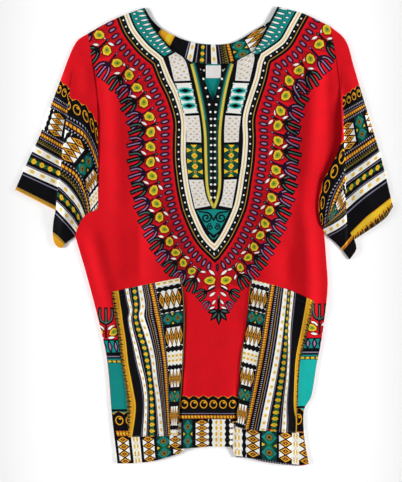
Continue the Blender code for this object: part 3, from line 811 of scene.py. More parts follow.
class Walk:
    """Places outside a yoke's edge, at even steps round it."""

    def __init__(self, chain, tip):
        out = -inward(chain)
        out /= np.hypot(*out.T)[:, None]
        reach = 9
        weights = np.hanning(2 * reach + 3)[1:-1]
        padded = np.vstack([out[:1].repeat(reach, 0), out, out[-1:].repeat(reach, 0)])
        smooth = [np.convolve(column, weights, "valid") for column in padded.T]
        self.chain = chain
        self.out = np.column_stack(smooth)
        self.out /= np.hypot(*self.out.T)[:, None]
        self.numbers = np.arange(len(chain))
        self.tip = np.hypot(*(chain - np.array(tip)).T).argmin()

    def places(self, distance, pitch, shift=0.5):
        """Places on the chain whose spots at that distance lie a pitch apart, in steps out from the tip."""
        along = lengths_along(self.chain + self.out * distance)
        along = along - along[self.tip]
        most = int(max(along[-1], -along[0]) / pitch[0])
        steps = np.arange(-most, most) + shift
        spread = np.sign(steps) * (pitch[0] * np.abs(steps) + pitch[1] * steps**2)
        inside = (spread > along[0]) & (spread < along[-1])
        return steps[inside], np.interp(spread[inside], along, self.numbers)

    def spot(self, place, distance):
        """A spot, the way out from the yoke there, and the way along its edge towards the tip."""
        out = np.array([np.interp(place, self.numbers, column) for column in self.out.T])
        out /= hypot(*out)
        base = np.array([np.interp(place, self.numbers, column) for column in self.chain.T])
        side = 1.0 if place < self.tip else -1.0
        down = np.array([-out[1], out[0]]) * -side
        fade = min(1.0, abs(place - self.tip) / 12)
        return base + out * distance, out, down * fade


def turned(direction, angle):
    """A direction turned by an angle in degrees."""
    c, s = cos(radians(angle)), sin(radians(angle))
    return np.array([direction[0] * c - direction[1] * s, direction[0] * s + direction[1] * c])


def local(spot, ahead, rows, size=1.0):
    """Points given by how far ahead and how far aside they lie from a spot."""
    ahead = np.asarray(ahead) / hypot(*ahead)
    side = np.array([-ahead[1], ahead[0]])
    rows = np.array(rows, float) * size
    return spot + rows[:, :1] * ahead + rows[:, 1:] * side


def draw_fork(cloth, spot, ahead, inks, size=1.0, hand=1):
    """Three curved prongs from one spot, light in the middle of a dark outline."""
    dark, light = inks
    prongs = [local(spot, ahead, [(a, hand * b) for a, b in prong], size) for prong in PRONGS]
    for prong in prongs:
        cloth.stroke(dark, prong, 8.0 * size)
    for prong in prongs:
        cloth.stroke(light, prong[1:] * 0.9 + prong[:-1] * 0.1, 1.8 * size)


def draw_petal(cloth, start, end, width=4.2):
    """A white petal with a wine red outline."""
    ahead = np.asarray(end) - start
    middle = (np.asarray(end) + start) / 2
    cloth.stamp("wine", "petal", middle, ahead, hypot(*ahead) + 3.6, width + 3.2)
    cloth.stamp("white", "petal", middle, ahead, hypot(*ahead), width)


def draw_pod(cloth, spot, ahead, length=19.0, width=16.0):
    """A yellow pod with a green heart and a wine red outline."""
    cloth.stamp("wine", "seed", spot, ahead, length + 5, width + 5)
    cloth.stamp("yellow", "seed", spot, ahead, length, width)
    cloth.stamp("leaf", "seed", spot, ahead, length * 0.62, width * 0.6)
    cloth.stamp("green", "petal", spot, ahead, length * 0.26, width * 0.2)


def draw_oval(cloth, spot, ahead, length=16.5, width=8.8):
    """A dark oval with a pale heart, on a deeper red."""
    cloth.stamp("deep_red", "oval", spot, ahead, length + 6, width + 4.5)
    cloth.stamp("purple", "oval", spot, ahead, length, width)
    cloth.stamp("lavender", "oval", spot, ahead, length - 6.5, width - 5.6)


def draw_unit(cloth, start, ahead, inks, size, hand):
    """A stem from its light dot to its fork, crossed by white petals if it is a black one."""
    end = local(start, ahead, [(24, 0)], size)[0]
    cloth.stroke(inks[0], [start, (start + end) / 2, end], 4.2 * size)
    draw_fork(cloth, end, ahead, inks, size, hand)
    cloth.stamp(inks[0], "oval", start, ahead, 7, 6)
    cloth.stamp(inks[1], "oval", start, ahead, 3.4, 2.4)
    if inks[0] == "black":
        for side in (-1, 1):
            draw_petal(cloth, *local(start, ahead, [(2.5, side * 4), (-1.5, side * 15)], size), 4.2 * size)
            draw_petal(cloth, *local(start, ahead, [(17, side * 4), (24, side * 13)], size), 4.0 * size)


def draw_ring(cloth, chain, tip):
    """Ovals close round a yoke, and outside them pods with stems and forks between."""
    walk = Walk(chain, tip)
    steps, pods = walk.places(POD_RING, POD_PITCH)
    for step, place in zip(steps, pods):
        spot, out, down = walk.spot(place, POD_RING)
        cloth.stamp("deep_red", "oval", spot, out, 40, 22)
    steps, places = walk.places(OVAL_RING, OVAL_PITCH)
    for place in places[np.abs(steps) > 1]:
        spot, out, down = walk.spot(place, OVAL_RING)
        draw_oval(cloth, spot, out + 0.12 * down)
    steps, pods = walk.places(POD_RING, POD_PITCH)
    for step, near, far in zip(steps, pods, pods[1:]):
        if abs(step + 0.5) < 1.5:
            continue
        place = (near + far) / 2
        start, out, down = walk.spot(place, STEM_RING)
        size = min(1.0, 0.78 + 0.022 * abs(step + 0.5))
        ahead = out * cos(LEAN) + down * sin(LEAN)
        inks = FORK_INKS[int(abs(step + 0.5) + 1) % 2]
        draw_unit(cloth, start, ahead, inks, size, -1 if step > 0 else 1)
    for step, place in zip(steps, pods):
        if abs(step) > 2:
            spot, out, down = walk.spot(place, POD_RING)
            size = min(1.0, 0.7 + 0.03 * abs(step))
            draw_pod(cloth, spot, turned(out, 50 * (-1) ** int(step)), 18.5 * size, 16 * size)


TAIL_MIDDLE = 24.0
# Petals of the tail: from where, to where, and how wide.
TAIL_PETALS = [
    ((16, 459), (5, 468), 4.6),
    ((17, 493), (5, 486), 4.6),
    ((15, 505), (4, 497.5), 4.2),
    ((10, 519), (4, 511), 3.6),
    ((15, 527), (5, 523), 3.2),
]


def tail_spot(side, aside, down):
    """A spot on one side of the tail's middle."""
    return np.array([TAIL_MIDDLE + side * aside, down])


def draw_tail(cloth):
    """The sprigs that hang below the yoke's tip."""
    draw_oval(cloth, np.array([23.0, 455.0]), (0, 1), 14, 5.4)
    cloth.stroke("black", [(25, 504), (25, 518), (25.5, 530)], 4.4)
    cloth.stamp("moss", "petal", np.array([25.0, 506.0]), (0, 1), 8, 2.6)
    for side in (-1, 1):
        for start, end, width in TAIL_PETALS:
            draw_petal(cloth, tail_spot(side, *start), tail_spot(side, *end), width)
        draw_pod(cloth, tail_spot(side, 14.5, 477), (-side, 0.12), 20, 15)
        stem = [tail_spot(side, aside, down) for aside, down in ((5, 489), (14, 494), (23, 499))]
        cloth.stroke("black", stem, 3.6)
        draw_fork(cloth, tail_spot(side, 21, 497), (side, 0.7), FORK_INKS[1], 0.68, -side)
        draw_fork(cloth, tail_spot(side, 15, 515), (side * 0.8, 1.0), FORK_INKS[0], 0.52, -side)
    for angle, length in ((-78, 21), (78, 21), (-38, 24), (38, 24), (0, 27)):
        ahead = turned(np.array([0.0, 1.0]), angle)
        spot = np.array([25.5, 529.0]) + ahead * length / 2
        cloth.stamp("black", "petal", spot, ahead, length, 9.5)
        cloth.stamp("moss", "petal", spot, ahead, length * 0.6, 2.6)


def draw_yoke_lines(cloth, chain):
    """The lines along the yoke's edge, on a dark ground, and what is left inside them."""
    width = sum(band.width for band in YOKE_LINES)
    outer = beside(chain, -YOKE_RIM)
    inner = beside(chain, width - YOKE_RIM)
    cloth.paint("black", chain)
    cloth.bands(Patch([0, width], [outer, inner]), YOKE_LINES)
    return inner


def draw_scroll(cloth, middle, size, turn):
    """A spiral line from its middle outwards."""
    angles = np.linspace(0.4 * pi, 3.6 * pi, 15)
    radius = size * (0.12 + 0.88 * angles / angles[-1])
    rows = np.column_stack([np.cos(angles) * turn, np.sin(angles)]) * radius[:, None] + middle
    cloth.stroke("black", rows, 1.2 + size * 0.16)


def draw_collar(cloth, neck, edge, inner):
    """Dashes between the neck and the first stretch of the yoke's inner line."""
    corner = len(smooth_edge(edge))
    neck_line = resampled(smooth_line(neck, 4), COLLAR_POINTS)
    yoke_line = resampled(inner[: corner + 1], COLLAR_POINTS)
    cloth.bands(Patch([0, COLLAR_WIDTH], [neck_line, yoke_line]), [Band("collar", COLLAR_WIDTH)])


def draw_placket(cloth):
    """Two edges that meet in a point, and the dots inside them."""
    for rows, side in ((PLACKET_LEFT, 1), (PLACKET_RIGHT, -1)):
        cloth.stroke("deep_green", rows[:-2], 6.0, side * 4.0)
        cloth.stroke("teal", rows[:4], 2.4, side * 3.6)
        cloth.stroke("olive", rows, 5.8, 0.0)
        cloth.stroke("straw", rows, 4.0, 0.0)
    for rows in (PLACKET_DOTS_LEFT, PLACKET_DOTS_RIGHT):
        for across, down in rows:
            cloth.stamp("white", "oval", np.array([across, down]), (1, 0), 4.0, 4.0)
            cloth.stamp("deep_green", "disc", np.array([across, down + 6]), (1, 0), 2.2, 2.2)


def draw_scrolls(cloth):
    """The panel of spirals at the yoke's point."""
    cloth.paint("teal", SCROLL_PANEL)
    for side in (-1, 1):
        draw_scroll(cloth, (16.5 + side * 13, 368), 10.0, side)
        draw_scroll(cloth, (16.5 + side * 6.2, 384), 6.0, -side)
        cloth.stroke("black", [(16.5 + side * 26, 357), (16.5 + side * 7, 361), (16.5, 373)], 2.6)
    cloth.stroke("teal", [(9, 397.5), (12.5, 402), (16.5, 405.5), (20.5, 402), (24, 397.5)], 1.6)


def draw_yoke(cloth):
    """The front's yoke, with its collar of dashes, its panels and its placket."""
    chain = yoke_chain([YOKE_LEFT_TOP, YOKE_LEFT_SIDE, YOKE_RIGHT_SIDE[::-1], YOKE_RIGHT_TOP[::-1]])
    draw_ring(cloth, chain, YOKE_TIP)
    draw_tail(cloth)
    inner = draw_yoke_lines(cloth, chain)
    draw_collar(cloth, COLLAR_LEFT, YOKE_LEFT_TOP, inner)
    draw_collar(cloth, COLLAR_RIGHT, YOKE_RIGHT_TOP, inner[::-1])
    for panel in PANELS:
        patch = patch_over([Rung(0, panel.left), Rung(PANEL_WIDTH, panel.right)])
        cloth.bands(patch, [Band(panel.kind, PANEL_WIDTH)])
    draw_placket(cloth)
    draw_scrolls(cloth)


def draw_hem(cloth):
    """The border along the front's hem, in three stretches between its pleats."""
    left = patch_over([
        Rung(0, [(-172, 749), (-33, 746)]),
        Rung(46, [(-165, 800), (-114, 797), (-81, 792), (-33, 779)]),
    ])
    columns = read_bands(
        "black 20, lozenges 20, black 5, white_rows 15, black 5, lozenges 20, black 3, ovals 28, black 3,"
        "lozenges 22"
    )
    cloth.block(Area(left, 0, left.length, 0, 46), columns)
    levels = ((0, 678), (38, 719), (88, 770))
    middle = patch_over([Rung(place, [(-60, down), (75, down)]) for place, down in levels])
    columns = read_bands(
        "lozenges 20, black 3, ovals 18, black 5, lozenges 22, scallop 8, white_rows 21, scallop 10,"
        "lozenges 30"
    )
    cloth.bands(middle, read_bands("rings 27, grey 3, braid 8, block 50"), columns)
    right = patch_over([
        Rung(0, [(50, 731), (164, 742), (190, 746)]),
        Rung(50, [(50, 787), (79, 790), (163, 803), (190, 802)]),
    ])
    columns = read_bands(
        "white_rows 15, scallop 8, lozenges 22, black 2, ovals 29, black 2, lozenges 22, white_rows 12,"
        "lozenges 24"
    )
    cloth.block(Area(right, 0, right.length, 0, 46), columns)
    cloth.band(Area(right, 0, right.length, 46, 50), "dots")


def draw_side_sprig(cloth, middle):
    """An upright fork with petals and pods below it."""
    foot = np.array(middle) + (0, 17)
    for ink, width, trim in (("black", 6.2, 0), ("moss", 1.8, 1)):
        for aside in (-11, 0, 11):
            ends = [(trim, 0), (5 + trim, aside * 0.75), (15, aside), (29 - 3 * trim, aside * 0.95)]
            cloth.stroke(ink, local(foot, (0, -1), ends), width)
    cloth.stroke("maroon", [foot, foot + (0, 12), foot + (0, 25)], 4.0)
    for side in (-1, 1):
        draw_petal(cloth, foot + (side * 3, 10), foot + (side * 15, 2), 5.4)
        draw_pod(cloth, foot + (side * 13, 14), (side, -0.5), 17, 13)
        draw_petal(cloth, foot + (side * 3, 25), foot + (side * 16, 23), 4.2)


SIDE_LEFT_RUNGS = [
    Rung(0, [(-192, 580), (-120, 580)]),
    Rung(41, [(-184, 621), (-112, 621)]),
    Rung(170, [(-172, 751), (-100, 751)]),
]
SIDE_LEFT_BANDS = read_bands("purple_ovals 25, double_line 16, teal 80, black 4, rings 31, braid 14")
SIDE_RIGHT_RUNGS = [
    Rung(0, [(140, 577), (222, 577)]),
    Rung(38, [(140, 615), (220, 615)]),
    Rung(176, [(140, 753), (200, 753)]),
]
SIDE_RIGHT_BANDS = read_bands(
    "purple_ovals 20, double_line 18, bright_teal 81, black 4, rings 38, braid 15"
)


def draw_side(cloth, ground, rungs, bands):
    """Bands across one side of the front, over one ink."""
    patch = patch_over(rungs)
    cloth.paint(ground, np.vstack([patch.grid[0], patch.grid[-1][::-1]]))
    cloth.bands(patch, bands)


def draw_sides(cloth):
    """What shows of the print between each pocket and the side seam."""
    draw_side_sprig(cloth, (-171, 536))
    draw_side_sprig(cloth, (201, 529))
    draw_side(cloth, "teal", SIDE_LEFT_RUNGS, SIDE_LEFT_BANDS)
    cloth.stroke("black", [(-187, 580), (-172, 624), (-165, 709), (-155, 752)], 9.0)
    draw_side(cloth, "bright_teal", SIDE_RIGHT_RUNGS, SIDE_RIGHT_BANDS)


def front_print():
    """The front has the long yoke, both sides and the hem."""
    cloth = Print()
    draw_yoke(cloth)
    draw_sides(cloth)
    draw_hem(cloth)
    return cloth


# Black areas beside the label, each with its dot.
BACK_TABS = [
    ([(-18, 92), (4, 92), (4, 124), (-6, 124)], (0, 111)),
    ([(28, 92), (48, 92), (38, 124), (28, 124)], (32.6, 111)),
]


def back_print():
    """The back has a shorter yoke, and the border all along its hem."""
    cloth = Print()
    chain = yoke_chain([BACK_YOKE_LEFT, BACK_YOKE_RIGHT[::-1]])
    draw_ring(cloth, chain, BACK_YOKE_LEFT[-1])
    inner = draw_yoke_lines(cloth, chain)
    cloth.paint("teal", inner + inward(chain) * 0.5)
    for rows, dot in BACK_TABS:
        cloth.paint("black", rows)
        cloth.stamp("white", "oval", np.array(dot), (1, 0), 4.0, 4.0)
    hem = patch_over([
        Rung(0, [(-190, 690), (10, 672), (215, 690)]),
        Rung(38, [(-190, 734), (10, 716), (215, 734)]),
        Rung(96, [(-190, 800), (10, 782), (215, 806)]),
    ])
    bands = read_bands("rings 25, dots 5, braid 8, block 58")
    cloth.bands(hem, bands, POCKET_ROWS + POCKET_ROWS[1:])
    return cloth


POCKET_LEFT_RUNGS = [
    Rung(0, [(-168, 486), (-154, 552), (-146, 613), (-138, 674), (-134, 756)]),
    Rung(8, [(-153, 486), (-146, 535), (-139, 579), (-135, 623), (-127, 668), (-122, 701), (-130, 756)]),
    Rung(33, [
        (-137, 480), (-131, 512), (-126, 530), (-130, 541), (-127, 563), (-120, 592), (-113, 623),
        (-105, 652), (-101, 690), (-104, 756),
    ]),
    Rung(48, [
        (-123, 480), (-119, 519), (-120, 539), (-114, 565), (-102, 601), (-95, 646), (-92, 690), (-92, 756),
    ]),
    Rung(60, [
        (-114, 478), (-107, 521), (-111, 539), (-101, 568), (-91, 606), (-86, 646), (-79, 690), (-72, 756),
    ]),
    Rung(79, [(-95, 474), (-85, 519), (-77, 557), (-69, 612), (-66, 646), (-64, 686), (-60, 756)]),
    Rung(122, [(-39, 462), (-33, 536), (-37, 642), (-42, 700), (-46, 757)]),
]
POCKET_RIGHT_RUNGS = [
    Rung(0, [(196, 500), (184, 551), (174, 591), (167, 621), (164, 694), (163, 756)]),
    Rung(15, [(176, 490), (166, 557), (157, 610), (154, 663), (154, 699), (159, 723), (157, 756)]),
    Rung(33, [(153, 486), (147, 557), (147, 601), (145, 646), (141, 690), (138, 756)]),
    Rung(46, [(149, 484), (145, 557), (143, 601), (137, 652), (129, 703), (121, 756)]),
    Rung(60, [(145, 480), (139, 535), (130, 597), (120, 652), (109, 703), (99, 756)]),
    Rung(79, [(121, 472), (112, 526), (102, 592), (90, 655), (79, 708), (68, 756)]),
    Rung(122, [(82, 462), (73, 535), (66, 588), (61, 632), (57, 677), (52, 750)]),
]
POCKET_BANDS = read_bands(
    "fringe 7, gold 4.5, black 14.5, grey 2.5, black 1, white_gold 7, black 1.5, grey 3, black 1.5,"
    "beads 11, black 0.5, grey 2.5, white_gold 7.5, black 1.5, grey 2.5, dark_edge 3, dots 4, braid 7.5,"
    "dots 2.5, block 33.5, dark_edge 3.5"
)


def sleeve_print(crease, outer, inner):
    """The sleeve's border in two zones that meet at the crease of its pleat."""
    (x0, y0), (x1, y1) = crease[0], crease[-1]
    away = -500.0 if x0 < 0 else 500.0
    zones = {
        "outer": np.array(crease + [(x1 + away, y1), (x0 + away, y0)], float),
        "inner": np.array(crease + [(x1 - away, y1), (x0 - away, y0)], float),
    }
    cloth = Print("red", zones)
    for name, zone in (("inner", inner), ("outer", outer)):
        patch = patch_over(zone.rungs, name)
        along = np.linspace(0, patch.length, 40)
        start = patch.at(along, np.full(40, BORDER[0].width / 2))
        cloth.paint("black", np.vstack([start, patch.grid[-1][::-1]]), name)
        cloth.bands(patch, zone.bands, zone.rows)
    return cloth


def grid_inside(ring, step, lines=()):
    """Evenly staggered points inside a ring, clear of its edge and of any line on it."""
    low, high = ring.min(axis=0), ring.max(axis=0)
    rise = step * sin(pi / 3)
    rows = []
    for i in range(ceil((high[1] - low[1]) / rise)):
        across = np.arange(low[0] + (i % 2) * step / 2, high[0], step)
        rows.append(np.column_stack([across, np.full(len(across), low[1] + i * rise)]))
    points = np.vstack(rows)
    points = points[is_inside(ring, points)]
    clear = distance_to(ring, points, closed=True) > step / 2
    for line in lines:
        clear &= distance_to(line, points) > step / 2
    return points[clear]


def pleat_edges(pleats):
    """The two lines that each pleat's step rises between."""
    found = []
    for pleat in pleats:
        start = np.array([pleat.across, pleat.down], float)
        run = np.array([pleat.to_across, pleat.to_down]) - start
        sideways = np.array([run[1], -run[0]]) / hypot(*run) * pleat.edge
        along = np.linspace(PLEAT_SPAN.start, PLEAT_SPAN.stop, 40)
        for side in (-1, 0, 1):
            found.append(start + along[:, None] * run + side * sideways)
    return found


def closed_ties(first, count):
    """The edges of a closed ring of points with consecutive numbers."""
    return [(first + i, first + (i + 1) % count) for i in range(count)]


def cut(cloth, ring, step, lines=()):
    """Triangles over a ring, with the edges of every printed shape among theirs, and the ink of each."""
    points = [ring]
    ties = closed_ties(0, len(ring))
    count = len(ring)
    for line in lines:
        ties += [(count + i, count + i + 1) for i in range(len(line) - 1)]
        points.append(line)
        count += len(line)
    for loop in [*cloth.zones.values(), *[shape.ring for shape in cloth.shapes]]:
        ties += closed_ties(count, len(loop))
        points.append(loop)
        count += len(loop)
    points.append(grid_inside(ring, step))
    flat = [Vector(point) for point in np.vstack(points)]
    made = geometry.delaunay_2d_cdt(flat, ties, [], 0, CUT_GAP, False)
    points = np.array([tuple(point) for point in made[0]])
    triangles = np.array(made[2])
    triangles = triangles[is_inside(ring, points[triangles].mean(axis=1))]
    used, index = np.unique(triangles, return_inverse=True)
    triangles = index.reshape(-1, 3)
    return points[used], triangles, inked(cloth, points[used][triangles].mean(axis=1))


def inked(cloth, middles):
    """The ink of the topmost shape over each point."""
    inks = np.full(len(middles), cloth.ground, dtype=object)
    zones = {name: is_inside(zone, middles) for name, zone in cloth.zones.items()}
    order = np.argsort(middles[:, 0])
    across = middles[order, 0]
    for shape in cloth.shapes:
        low, high = shape.ring.min(axis=0), shape.ring.max(axis=0)
        first, last = np.searchsorted(across, [low[0], high[0]])
        near = order[first:last]
        near = near[(middles[near, 1] > low[1]) & (middles[near, 1] < high[1])]
        near = near[is_inside(shape.ring, middles[near])]
        if shape.zone:
            near = near[zones[shape.zone][near]]
        inks[near] = shape.colour
    return inks.tolist()


def ink_colour(name):
    """An ink as sRGB values from 0 to 1."""
    code = INKS[name]
    return [int(code[i : i + 2], 16) / 255 for i in (0, 2, 4)] + [1.0]


def border_edges(triangles):
    """The directed edges that only one triangle has."""
    edges = np.vstack([triangles[:, [0, 1]], triangles[:, [1, 2]], triangles[:, [2, 0]]])
    owner = np.tile(np.arange(len(triangles)), 3)
    keys = np.sort(edges, axis=1)
    _, first, counts = np.unique(keys, axis=0, return_index=True, return_counts=True)
    single = first[counts == 1]
    return edges[single], owner[single]


def make_piece(name, corners, triangles, inks, wall):
    """A thin shell under the given faces, with one ink for each."""
    mesh = bpy.data.meshes.new(name)
    mesh.from_pydata((corners * MM).tolist(), [], triangles)
    colours = mesh.color_attributes.new("print", "BYTE_COLOR", "CORNER")
    palette = {ink: ink_colour(ink) for ink in set(inks)}
    values = [palette[ink] for ink, face in zip(inks, triangles) for _ in face]
    colours.data.foreach_set("color_srgb", np.array(values, np.float32).ravel())
    piece = bpy.data.objects.new(name, mesh)
    bpy.context.scene.collection.objects.link(piece)
    shell = piece.modifiers.new("wall", "SOLIDIFY")
    shell.thickness = wall * MM
    shell.offset = -1.0
    finished(piece)
    return piece


def finished(piece):
    """Applies a piece's modifiers and shades it smooth, with its cut edges crisp."""
    bpy.context.view_layer.update()
    graph = bpy.context.evaluated_depsgraph_get()
    mesh = bpy.data.meshes.new_from_object(piece.evaluated_get(graph))
    piece.modifiers.clear()
    piece.data = mesh
    mesh.shade_smooth()
    mesh.set_sharp_from_angle(angle=CRISP_ANGLE)


def placed(points, heights):
    """Points of the cloth in the frame's directions."""
    return np.column_stack([points[:, 0], LENGTH / 2 - points[:, 1], heights])


def make_sheet(name, node, ring, cloth, height, wall, lines=(), step=GRID_STEP):
    """One layer of printed cloth that stands for a node."""
    points, triangles, inks = cut(cloth, ring, step, lines)
    piece = make_piece(name, placed(points, height(points)), triangles[:, ::-1].tolist(), inks, wall)
    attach(piece, "root")
    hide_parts(node)
    return piece


def make_tube(name, node, ring, cloth, height, closed, lines):
    """A sleeve laid flat: printed cloth above and below, joined along its closed edges."""
    points, triangles, inks = cut(cloth, ring, GRID_STEP, lines)
    top = height(points)
    edges, owners = border_edges(triangles)
    shut = nearest_of(closed, points) < ON_EDGE
    edge_points = np.unique(edges[shut[edges].all(axis=1)])
    top[edge_points] -= TUBE_ROUND
    upper = placed(points, top)
    lower = placed(points, np.zeros(len(points)))
    middle = lower[edge_points].copy()
    outwards = points[edge_points] - ring.mean(axis=0)
    outwards /= np.hypot(*outwards.T)[:, None]
    middle[:, 0] += outwards[:, 0] * TUBE_BULGE
    middle[:, 1] -= outwards[:, 1] * TUBE_BULGE
    middle[:, 2] = top[edge_points] / 2
    corners = np.vstack([upper, lower, middle])
    count = len(points)
    number = {point: 2 * count + i for i, point in enumerate(edge_points)}
    faces = triangles[:, ::-1].tolist() + (triangles + count).tolist()
    colours = inks + inks
    for (a, b), owner in zip(edges, owners):
        if shut[a] and shut[b]:
            faces.append([a, b, number[b], number[a]])
            faces.append([number[a], number[b], b + count, a + count])
            colours += [inks[owner]] * 2
    piece = make_piece(name, corners, faces, colours, SLEEVE_WALL)
    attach(piece, "root")
    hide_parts(node)
    return piece


def new_material(name):
    """A material with nodes, and its shader."""
    material = bpy.data.materials.new(name)
    material.use_nodes = True
    return material, material.node_tree.nodes["Principled BSDF"]


def add_node(tree, kind, values):
    """A node with the given values on its inputs."""
    node = tree.nodes.new("ShaderNode" + kind)
    for name, value in values.items():
        node.inputs[name].default_value = value
    return node


def noise(tree, scale, detail):
    """Soft noise fixed to the piece."""
    texture = add_node(tree, "TexNoise", {"Scale": scale, "Detail": detail})
    place = tree.nodes.new("ShaderNodeTexCoord")
    tree.links.new(place.outputs["Object"], texture.inputs["Vector"])
    return texture.outputs["Fac"]


def ramp(tree, value, low, high, dark, light):
    """A colour that goes from dark to light as a value rises from low to high."""
    tone = tree.nodes.new("ShaderNodeValToRGB")
    for element, position, colour in zip(tone.color_ramp.elements, (low, high), (dark, light)):
        element.position = position
        element.color = (*colour, 1)
    tree.links.new(value, tone.inputs["Fac"])
    return tone.outputs["Color"]


def multiplied(tree, first, second):
    """The product of two colours."""
    mix = tree.nodes.new("ShaderNodeMix")
    mix.data_type = "RGBA"
    mix.blend_type = "MULTIPLY"
    mix.inputs["Factor"].default_value = 1.0
    tree.links.new(first, mix.inputs["A"])
    tree.links.new(second, mix.inputs["B"])
    return mix.outputs["Result"]


def weave_bump(tree, thread):
    """A slight bump of threads that cross, each of the given width."""
    cross = tree.nodes.new("ShaderNodeMath")
    cross.operation = "MAXIMUM"
    for direction, entry in (("X", cross.inputs[0]), ("Y", cross.inputs[1])):
        values = {"Scale": 2 * pi / (20 * thread * MM), "Distortion": 0.6, "Detail": 1.0}
        threads = add_node(tree, "TexWave", values)
        threads.bands_direction = direction
        place = tree.nodes.new("ShaderNodeTexCoord")
        tree.links.new(place.outputs["Object"], threads.inputs["Vector"])
        tree.links.new(threads.outputs["Fac"], entry)
    bump = add_node(tree, "Bump", {"Strength": 0.35, "Distance": 0.0002})
    tree.links.new(cross.outputs["Value"], bump.inputs["Height"])
    return bump.outputs["Normal"]


def cloth_material(name, thread, roughness, mottle):
    """Printed cotton: the inks of the print, slightly varied, over a plain weave of the given thread."""
    material, shader = new_material(name)
    tree = material.node_tree
    shader.inputs["Sheen Weight"].default_value = 0.02
    shader.inputs["Sheen Roughness"].default_value = 0.5
    shader.inputs["Specular IOR Level"].default_value = 0.08
    inks = tree.nodes.new("ShaderNodeAttribute")
    inks.attribute_name = "print"
    patchy = noise(tree, 34.0, 5.0)
    tone = ramp(tree, patchy, 0.3, 0.66, [1 - mottle] * 3, WHITE)
    fleck = ramp(tree, noise(tree, 900.0, 2.0), 0.3, 0.6, [0.9] * 3, WHITE)
    colour = multiplied(tree, multiplied(tree, inks.outputs["Color"], tone), fleck)
    wear = add_node(tree, "MapRange", {"To Min": roughness - 0.08, "To Max": roughness + 0.08})
    tree.links.new(patchy, wear.inputs["Value"])
    tree.links.new(colour, shader.inputs["Base Color"])
    tree.links.new(wear.outputs["Result"], shader.inputs["Roughness"])
    tree.links.new(weave_bump(tree, thread), shader.inputs["Normal"])
    return material


def thread_material():
    """Dark sewing thread with a slight sheen and uneven colour."""
    material, shader = new_material("dark_thread")
    tree = material.node_tree
    shader.inputs["Roughness"].default_value = 0.55
    shader.inputs["Sheen Weight"].default_value = 0.15
    tone = ramp(tree, noise(tree, 700.0, 2.0), 0.0, 1.0, (0.012, 0.01, 0.012), (0.07, 0.055, 0.05))
    tree.links.new(tone, shader.inputs["Base Color"])
    return material


def make_floor():
    """A plain pale floor just under the shirt."""
    bpy.ops.mesh.primitive_plane_add(size=FLOOR_SIZE, location=(0, 0, -FLOOR_DROP))
    floor = bpy.context.object
    floor.name = "floor"
    material, shader = new_material("pale_floor")
    shader.inputs["Base Color"].default_value = (0.97, 0.97, 0.97, 1)
    shader.inputs["Roughness"].default_value = 0.9
    shader.inputs["Specular IOR Level"].default_value = 0.0
    floor.data.materials.append(material)


def make_light(name, side):
    """A long soft light with a grid, beside the shirt. It reaches little but the half that it is aimed at."""
    data = bpy.data.lights.new(name, "AREA")
    data.shape = "RECTANGLE"
    data.size = LIGHT_LENGTH
    data.size_y = LIGHT_DEPTH
    data.spread = LIGHT_SPREAD
    data.energy = LIGHT_POWER
    light = bpy.data.objects.new(name, data)
    light.location = (side * LIGHT_AWAY, 0.0, LIGHT_HEIGHT)
    aim = Vector((side * LIGHT_TARGET, 0.0, 0.0)) - light.location
    light.rotation_euler = aim.to_track_quat("-Z", "Y").to_euler()
    light.visible_camera = False
    bpy.context.scene.collection.objects.link(light)


def make_lights():
    """A long light on each side, and even light from all round."""
    make_light("left", -1)
    make_light("right", 1)
    world = bpy.data.worlds.new("studio")
    world.use_nodes = True
    background = world.node_tree.nodes["Background"]
    background.inputs["Color"].default_value = (1, 1, 1, 1)
    background.inputs["Strength"].default_value = 0.25
    bpy.context.scene.world = world
    bpy.context.scene.view_settings.view_transform = "Standard"


def make_camera():
    """A camera straight above the shirt."""
    data = bpy.data.cameras.new("camera")
    data.sensor_width = 36.0
    data.lens = data.sensor_width * (CAMERA_HEIGHT - 2 * CLOTH) / VIEW_HEIGHT
    camera = bpy.data.objects.new("camera", data)
    across, down = VIEW_MIDDLE
    camera.location = Vector((across, LENGTH / 2 - down, CAMERA_HEIGHT)) * MM
    bpy.context.scene.collection.objects.link(camera)
    bpy.context.scene.camera = camera


def make_back(material):
    """The back panel, flat on the floor."""
    ring = outline([NECK_BACK, *BODY_EDGES])
    cloth = back_print()
    height = level(CLOTH)
    back = make_sheet("back_cloth", "back", ring, cloth, height, CLOTH, step=BACK_STEP)
    back.data.materials.append(material)
    return back


def make_front(material):
    """The front panel, with its slit and its folds."""
    slit = [[NECK_FRONT_LEFT[-1], SLIT_TIP], [SLIT_TIP, NECK_FRONT_RIGHT[0]]]
    ring = outline([NECK_FRONT_LEFT, *slit, NECK_FRONT_RIGHT, *BODY_EDGES])
    lines = pleat_edges(FRONT_PLEATS)
    cloth = front_print()
    front = make_sheet("front_cloth", "front", ring, cloth, front_top, FRONT_WALL, lines)
    front.data.materials.append(material)
    return front


def make_pocket(name, edges, rungs, material):
    """A patch pocket of border print, on the front."""
    ring = outline(edges)
    cloth = Print("black", pitch=0.75)
    cloth.bands(patch_over(rungs), POCKET_BANDS, POCKET_ROWS)
    height = pocket_top(ring)
    pocket = make_sheet(
        name + "_cloth", name, ring, cloth, height, TRIM_WALL, step=POCKET_STEP
    )
    pocket.data.materials.append(material)
    return pocket


